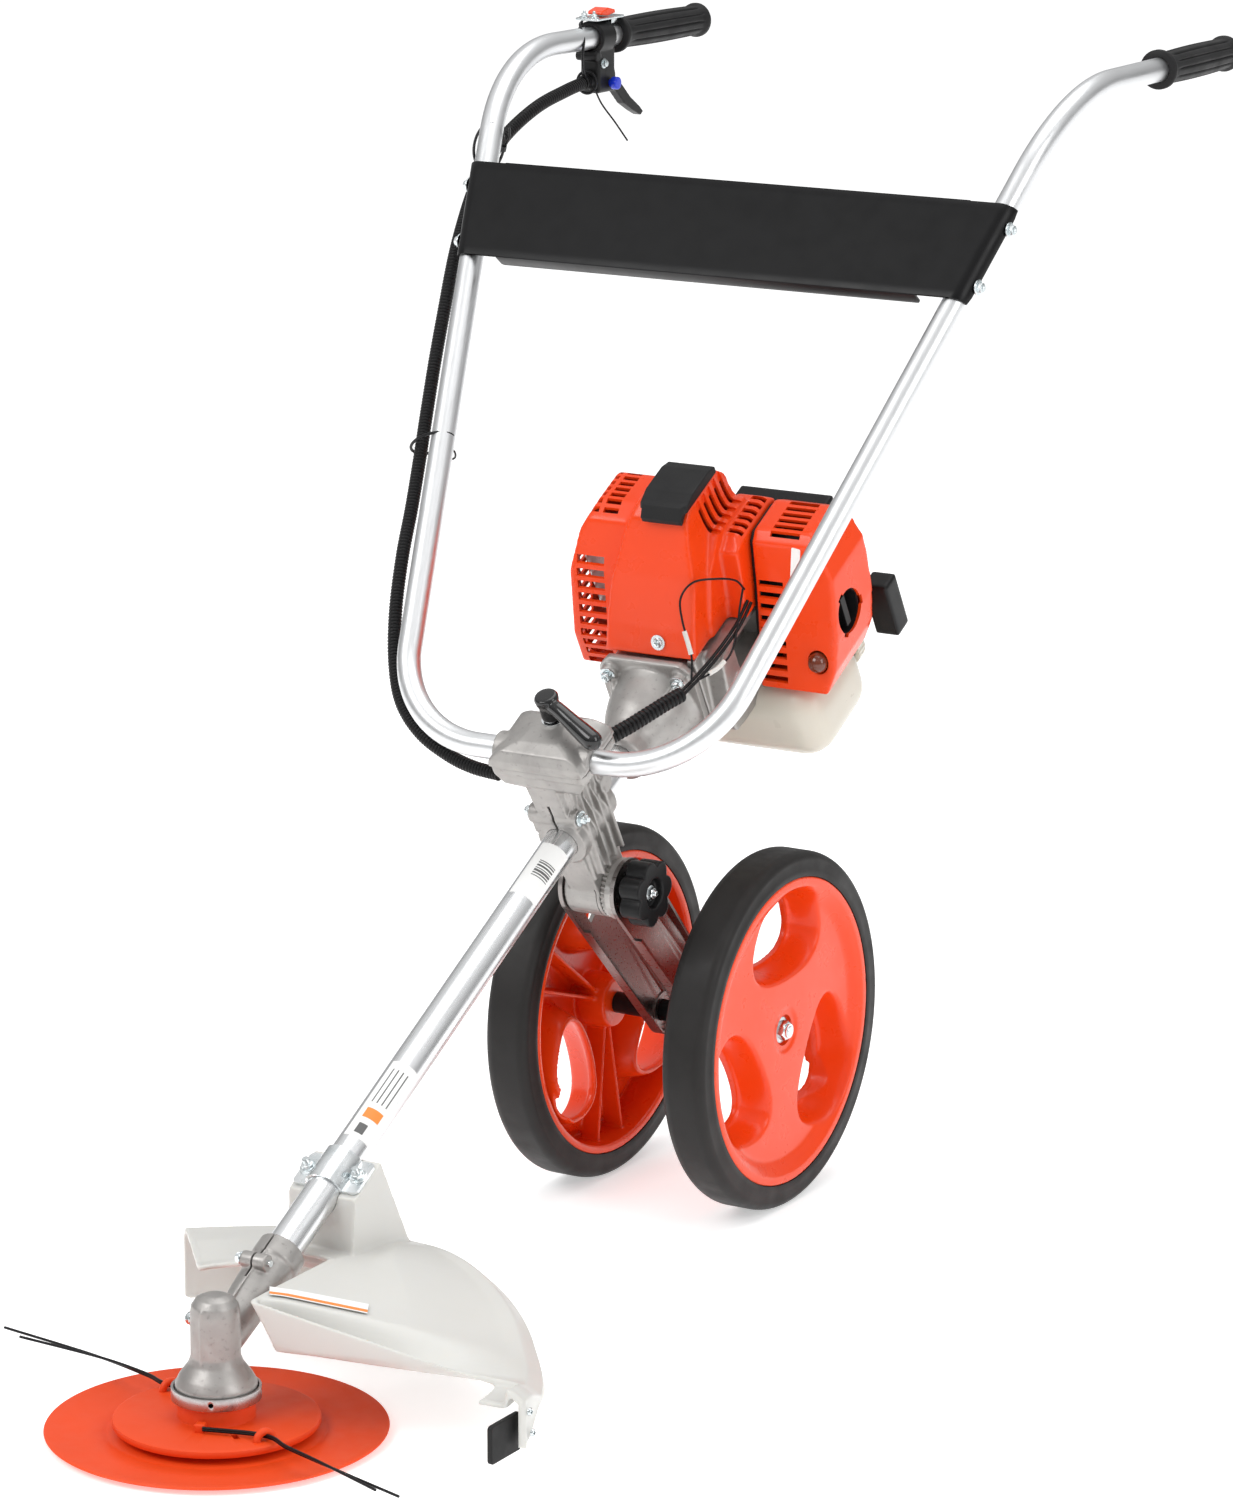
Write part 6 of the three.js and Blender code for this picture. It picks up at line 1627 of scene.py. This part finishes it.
def side_slots():
    """Ten openings that run from the front wall round the right corner, with a bar left at the corner."""
    tools = []
    for k in range(10):
        v = 18 + k * 9.6
        face = front_at(RIGHT_BAY_FRONT, v)
        tools.append(block((-71, -45), (face - 12, face + 22), (v - 3.1, v + 3.1)))
        tools.append(block((-90, -73), (face + 3, face + 12), (v - 2.8, v + 2.8)))
        tools.append(block((-90, -73), (face + 15, face + 32), (v - 2.8, v + 2.8)))
    return tools


def top_slots():
    tools = []
    for k in range(7):
        u = 240 + k * 7.6
        tools.append(block((-67, -54), (u, u + 4.6), (108, 170)))
        tools.append(block((-50, -36), (u, u + 4.6), (118, 170)))
    for k in range(5):
        u = 250 + k * 9.5
        tools.append(block((33.5, 48), (u, u + 5.4), (116, 147)))
    for k in range(6):
        u = 260 + k * 8.6
        tools.append(block((50, 62.4), (u, u + 4.8), (100, 130)))
    return tools


SCREW_PLACE = (12, 177.9, 58)
SCREW_TILT = math.radians(-24.6)


def add_engine_cover():
    """The glossy orange cover: three rounded bays with a step between them, hollow, with its slots."""
    skin = soft(cover_solid(0.0), 1.5, 14, 0.5)
    hollow = soft(cover_solid(COVER_WALL), 2.0, 5, 0.3)
    tools = [hollow, block((-39, 39), (160, 263), (-60, 47)), block((30, 66), (170, 264), (-40, 47.5)),
             disc(64.6, 292, 350, "y", 64), block((-84, -60), (230, 301), (-10, 18))]
    skin = carve(skin, *tools)
    skin = carve(skin, *side_slots(), *top_slots())
    renew("engine_cover", SHAFT, skin, angle=32)
    screw = pan_screw(4.2, "y", 0, -3.2)
    washer = disc(6.4, -0.9, 0.4, "y", 40)
    place = SHAFT @ Matrix.Translation(SCREW_PLACE) @ Matrix.Rotation(SCREW_TILT, 4, "X")
    show("cover_screw", "machine", "zinc_plated", place, merged(screw, washer))


def add_cover_cap():
    """A rubber pad on the crown, with a raised middle and rounded shoulders."""
    base = prism([(231, 151.3), (287, 151.3), (286, 158), (276, 161), (246, 161), (234, 157)], "x", -6, 38)
    nose = prism([(225, 143), (236, 150), (240, 158), (232, 158), (224, 149)], "x", -3, 35)
    skin = soft(merged(base, clip(nose, block((-10, 40), (220, 245), (144, 158)))), 1.0, 16, 0.5)
    renew("cover_cap", SHAFT, carve(skin, block((-20, 60), (238, 300), (140, 151.3))))


# ---------------------------------------------------------------- air cleaner
AIR_PROFILE = [(216, -14), (290, -14), (297, 4), (312, 60), (316, 104), (308, 110), (270, 110), (261, 103),
               (249, 66)]
AIR_FRONT = [(69, -20), (128, -20), (139, 4), (142, 30), (141, 78), (133, 98), (120, 112), (69, 112)]
CHOKE_U, CHOKE_V = 264.0, 38.0
AIR_FOOT, AIR_KNEE, AIR_BROW = AIR_PROFILE[0], AIR_PROFILE[8], AIR_PROFILE[7]


def add_air_cleaner():
    """The rounded cover beside the engine: louvres in front, vents on top, a well for the choke."""
    outer = clip(prism(AIR_PROFILE, "x", 69, 142), prism(AIR_FRONT, "y", 180, 340))
    inner = clip(prism(inset(AIR_PROFILE, COVER_WALL), "x", 60, 142 - COVER_WALL),
                 prism([(x if x > 75 else 60, v) for x, v in inset(AIR_FRONT, COVER_WALL)], "y", 180, 340))
    skin = soft(outer, 1.3, 14, 0.5)
    tools = [soft(inner, 1.8, 8, 0.35)]
    for k in range(9):
        v = -8 + k * 9.4
        front = front_at((AIR_FOOT, AIR_KNEE, AIR_BROW), v)
        tools.append(block((72, 95), (front - 14, front + 20), (v, v + 5.0)))
    for k in range(6):
        u = 266 + k * 7.6
        tools.append(block((85, 112), (u, u + 4.4), (100, 122)))
    tools.append(moved(disc(19, 128, 150, "x", 64), 0, CHOKE_U, CHOKE_V))
    for turn in (20, 140, 260):
        notch = moved(turned(block((128, 150), (-4, 4), (16, 21.5)), turn, "X"), 0, CHOKE_U, CHOKE_V)
        tools.append(notch)
    tools.append(moved(disc(9.4, 190, 250, "y", 48), 124, 0, 12))
    renew("air_cleaner_cover", SHAFT, carve(skin, *tools), angle=32)
    well = moved(ring(18.2, 20.2, 121, 138.6, "x", 64), 0, CHOKE_U, CHOKE_V)
    seal = prism(inset(AIR_PROFILE, 4.0), "x", 65.3, 72)
    show("intake_seal", "machine", "black_rubber", SHAFT, bevelled(seal, 1.0))
    filter_pad = soft(block((73, 118), (262, 290), (10, 96)), 1.5, 5, 0.4)
    show("air_filter", "machine", "black_rubber", SHAFT, filter_pad)
    cup = moved(disc(18.0, 118.6, 121.4, "x", 48), 0, CHOKE_U, CHOKE_V)
    show("choke_well", "machine", "black_plastic", SHAFT, merged(cup, well))
    hub = lathe([(0, 122), (15.5, 122), (15.5, 127), (13.5, 130), (7, 132), (0, 132)], "x", 64)
    bar = soft(block((129, 138), (-3.6, 3.6), (-14, 14)), 0.5, 6, 0.5)
    spindle = disc(3, 96, 124, "x", 24)
    knob = moved(merged(hub, bar, spindle), 0, CHOKE_U, CHOKE_V)
    renew("choke_knob", SHAFT, knob)
    renew("primer_bulb", SHAFT, ball(8.6, (124, 227, 12), (1, 1.1, 1)))


LABEL_X, LABEL_U, LABEL_V = 108.0, 255.5, 86.0
AIR_SLOPE = -math.atan2(AIR_BROW[0] - AIR_KNEE[0], AIR_BROW[1] - AIR_KNEE[1])
LABEL_LEAN = math.radians(8)


def add_carburettor():
    core = bevelled(block((34, 62), (248, 276), (50, 84)), 2.5, 3)
    throat = moved(disc(11, 24.5, 36, "x", 32), 0, 262, 68)
    top = moved(disc(8, 82, 92, "z", 32), 50, 262, 0)
    renew("carburettor", SHAFT, merged(core, throat, top))


# ---------------------------------------------------------------- fuel tank and starter
def rounded_box(x, y, z, radius):
    core = [block((x[0], x[1]), (y[0] + radius, y[1] - radius), (z[0] + radius, z[1] - radius)),
            block((x[0] + radius, x[1] - radius), (y[0], y[1]), (z[0] + radius, z[1] - radius)),
            block((x[0] + radius, x[1] - radius), (y[0] + radius, y[1] - radius), (z[0], z[1]))]
    for a in (x[0] + radius, x[1] - radius):
        for b in (y[0] + radius, y[1] - radius):
            core.append(moved(disc(radius, z[0] + radius, z[1] - radius, "z", 32), a, b, 0))
            for c in (z[0] + radius, z[1] - radius):
                core.append(ball(radius, (a, b, c), (1, 1, 1)))
    for a in (x[0] + radius, x[1] - radius):
        for c in (z[0] + radius, z[1] - radius):
            core.append(moved(disc(radius, y[0] + radius, y[1] - radius, "y", 32), a, 0, c))
    for b in (y[0] + radius, y[1] - radius):
        for c in (z[0] + radius, z[1] - radius):
            core.append(moved(disc(radius, x[0] + radius, x[1] - radius, "x", 32), 0, b, c))
    return merged(*core)


def add_fuel_tank():
    """A blow-moulded white tank under the engine, with its neck and screw cap."""
    body = rounded_box((-88, 118), (206, 304), (-88, -20), 26)
    neck = moved(disc(13, 296, 310, "y", 48), 88, 0, -50)
    skin = soft(merged(body, neck), 1.6, 8, 0.5)
    tools = [block((-41, 41), (180, 340), (-39, 20)), disc(67, 258, 345, "y", 96),
             block((66, 160), (190, 340), (-16.5, 20)), moved(disc(10.5, 285, 320, "y", 48), 88, 0, -50)]
    renew("fuel_tank", SHAFT, bevelled(carve(skin, *tools), 1.0, 2, 40))
    knurls = 24
    cap = lathe([(13.6, 310.4), (18, 310.4), (18, 321), (16.4, 323.6), (13, 324), (0, 324), (0, 314.2),
                 (13.6, 314.2),
                 (13.6, 310.4)], "y", 192, lambda r, h, a: r - 0.9 * (math.cos(a * knurls) > 0) * (r > 17))
    renew("fuel_cap", SHAFT, moved(cap, 88, 0, -50))


def add_starter():
    """The black recoil housing at the back with its ribs, screws and pull handle."""
    cup = lathe([(0, 344), (28, 344), (32, 343), (52, 338), (58, 334.5), (62, 330), (64, 325), (64, 303),
                 (61, 303), (61, 324), (52, 334), (30, 340), (0, 340)], "y", 128)
    fins = []
    for k in range(16):
        fin = prism([(303, 60), (327, 60), (332, 58), (327, 65.2), (303, 65.2)], "x", -1.4, 1.4)
        fins.append(turned(fin, k * 22.5 + 11, "Y"))
    rays = [turned(prism([(337, 34), (341, 34), (336, 54), (330, 54)], "x", -2, 2), k * 30, "Y")
            for k in range(12)]
    shoulder = block((20, 106), (319, 337), (44, 96))
    guide = block((50, 92), (312, 332), (-14, 8))
    skin = soft(merged(cup, *fins, *rays, shoulder, guide), 1.3, 5, 0.4)
    room = lathe([(0, 300), (61, 300), (61, 324), (52, 334), (0, 338)], "y", 96)
    rope_hole = moved(disc(3, 40, 110, "x", 24), 0, 322, -3)
    renew("recoil_housing", SHAFT, carve(skin, room, rope_hole))
    screws = [turned(moved(pan_screw(4, "y", 332, 3.4), 0, 0, 57), turn, "Y") for turn in (45, 135, 225, 315)]
    show("starter_screws", "machine", "zinc_plated", SHAFT, merged(*screws))
    rope = disc(2, 66, 128, "x", 24)
    tee = merged(block((126, 148), (-10, 10), (-26, 26)), moved(disc(7, 118, 130, "x", 32)))
    tee = soft(tee, 1.1, 22, 0.5)
    renew("starter_handle", SHAFT, moved(merged(rope, tee), 0, 322, -3))


def add_engine_label():
    """A plain white label on the air cleaner's sloping front."""
    place = SHAFT @ Matrix.Translation((LABEL_X, LABEL_U, LABEL_V)) @ Matrix.Rotation(AIR_SLOPE, 4, "X") \
        @ Matrix.Rotation(LABEL_LEAN, 4, "Y")
    shape = rounded_outline([(-4, -17), (4, -17), (4, 17), (-4, 17)], 1.2)
    show("air_label", "machine", "guard_plastic", place, prism(shape, "y", -0.3, 0.6), (), "paper")


for function in (add_clutch_housing, add_crankcase, add_cylinder, add_engine_cover, add_cover_cap,
                 add_air_cleaner, add_carburettor, add_fuel_tank, add_starter, add_engine_label):
    function()


# ---------------------------------------------------------------- everything not rebuilt above
for name in sorted(set(NODES) - DONE):
    refine(name)


# ---------------------------------------------------------------- floor, light and camera
FLOOR_REACH = 100.0
FLOOR_LEVEL = -0.0002
FLOOR_GLOW = 0.45


def add_floor():
    """A pale floor just under the wheels, glowing weakly so that it stays as light as the background."""
    size, level = FLOOR_REACH, FLOOR_LEVEL
    mesh = bpy.data.meshes.new("floor")
    corners = [(-size, -size, level), (size, -size, level), (size, size, level), (-size, size, level)]
    mesh.from_pydata(corners, [], [(0, 1, 2, 3)])
    floor = bpy.data.objects.new("floor", mesh)
    bpy.context.scene.collection.objects.link(floor)
    m = Mat("floor", (0.95, 0.95, 0.95), 0.7)
    m.set("Specular IOR Level", 0.1)
    m.set("Emission Color", (1, 1, 1, 1))
    m.set("Emission Strength", FLOOR_GLOW)
    m.tint(m.spread(m.noise(0.8, 2.0), 0.3, 0.7, 0.0, 0.15), (0.9, 0.9, 0.9))
    mesh.materials.append(m.mat)


def add_light(name, place, aim, size, power):
    data = bpy.data.lights.new(name, "AREA")
    data.shape = "RECTANGLE"
    data.size, data.size_y = size
    data.energy = power
    light = bpy.data.objects.new(name, data)
    light.location = place
    light.rotation_euler = (Vector(aim) - Vector(place)).to_track_quat("-Z", "Y").to_euler()
    bpy.context.scene.collection.objects.link(light)


def add_world():
    """A white room, darker towards the horizon so that metal has something to reflect."""
    world = bpy.data.worlds.new("studio")
    world.use_nodes = True
    nodes = world.node_tree.nodes
    links = world.node_tree.links
    back = nodes["Background"]
    coord = nodes.new("ShaderNodeTexCoord")
    split = nodes.new("ShaderNodeSeparateXYZ")
    ramp = nodes.new("ShaderNodeMapRange")
    for name, number in {"From Min": 0.0, "From Max": 0.75, "To Min": 0.24, "To Max": 0.78}.items():
        ramp.inputs[name].default_value = number
    links.new(coord.outputs["Generated"], split.inputs["Vector"])
    links.new(split.outputs["Z"], ramp.inputs["Value"])
    links.new(ramp.outputs["Result"], back.inputs["Strength"])
    back.inputs["Color"].default_value = (1, 1, 1, 1)
    bpy.context.scene.world = world


CAMERA_PLACE = (2.2016, -3.1144, 1.4416)
CAMERA_AIM = (0.04896, 0.433, 0.43396)
CAMERA_LENS = 131.5
CAMERA_SHIFT = 0.0252


def add_camera():
    """The camera fitted to the photograph."""
    place, aim = Vector(CAMERA_PLACE), Vector(CAMERA_AIM)
    data = bpy.data.cameras.new("camera")
    data.sensor_fit = "VERTICAL"
    data.sensor_height = 36.0
    data.lens = CAMERA_LENS
    data.shift_x = CAMERA_SHIFT
    camera = bpy.data.objects.new("camera", data)
    camera.matrix_world = Matrix.LocRotScale(place, (aim - place).to_track_quat("-Z", "Y"), None)
    bpy.context.scene.collection.objects.link(camera)
    bpy.context.scene.camera = camera


add_floor()
add_world()
# name, place, aim, size, power
LIGHTS = [
    ("key", (-1.6, -2.6, 3.4), (0.0, 0.4, 0.4), (2.6, 1.8), 72),
    ("side", (3.4, -0.2, 2.0), (0.0, 0.5, 0.5), (1.4, 2.4), 34),
    ("top", (0.2, 1.2, 4.0), (0.0, 0.5, 0.3), (3.0, 3.0), 48)]
for light in LIGHTS:
    add_light(*light)
add_camera()
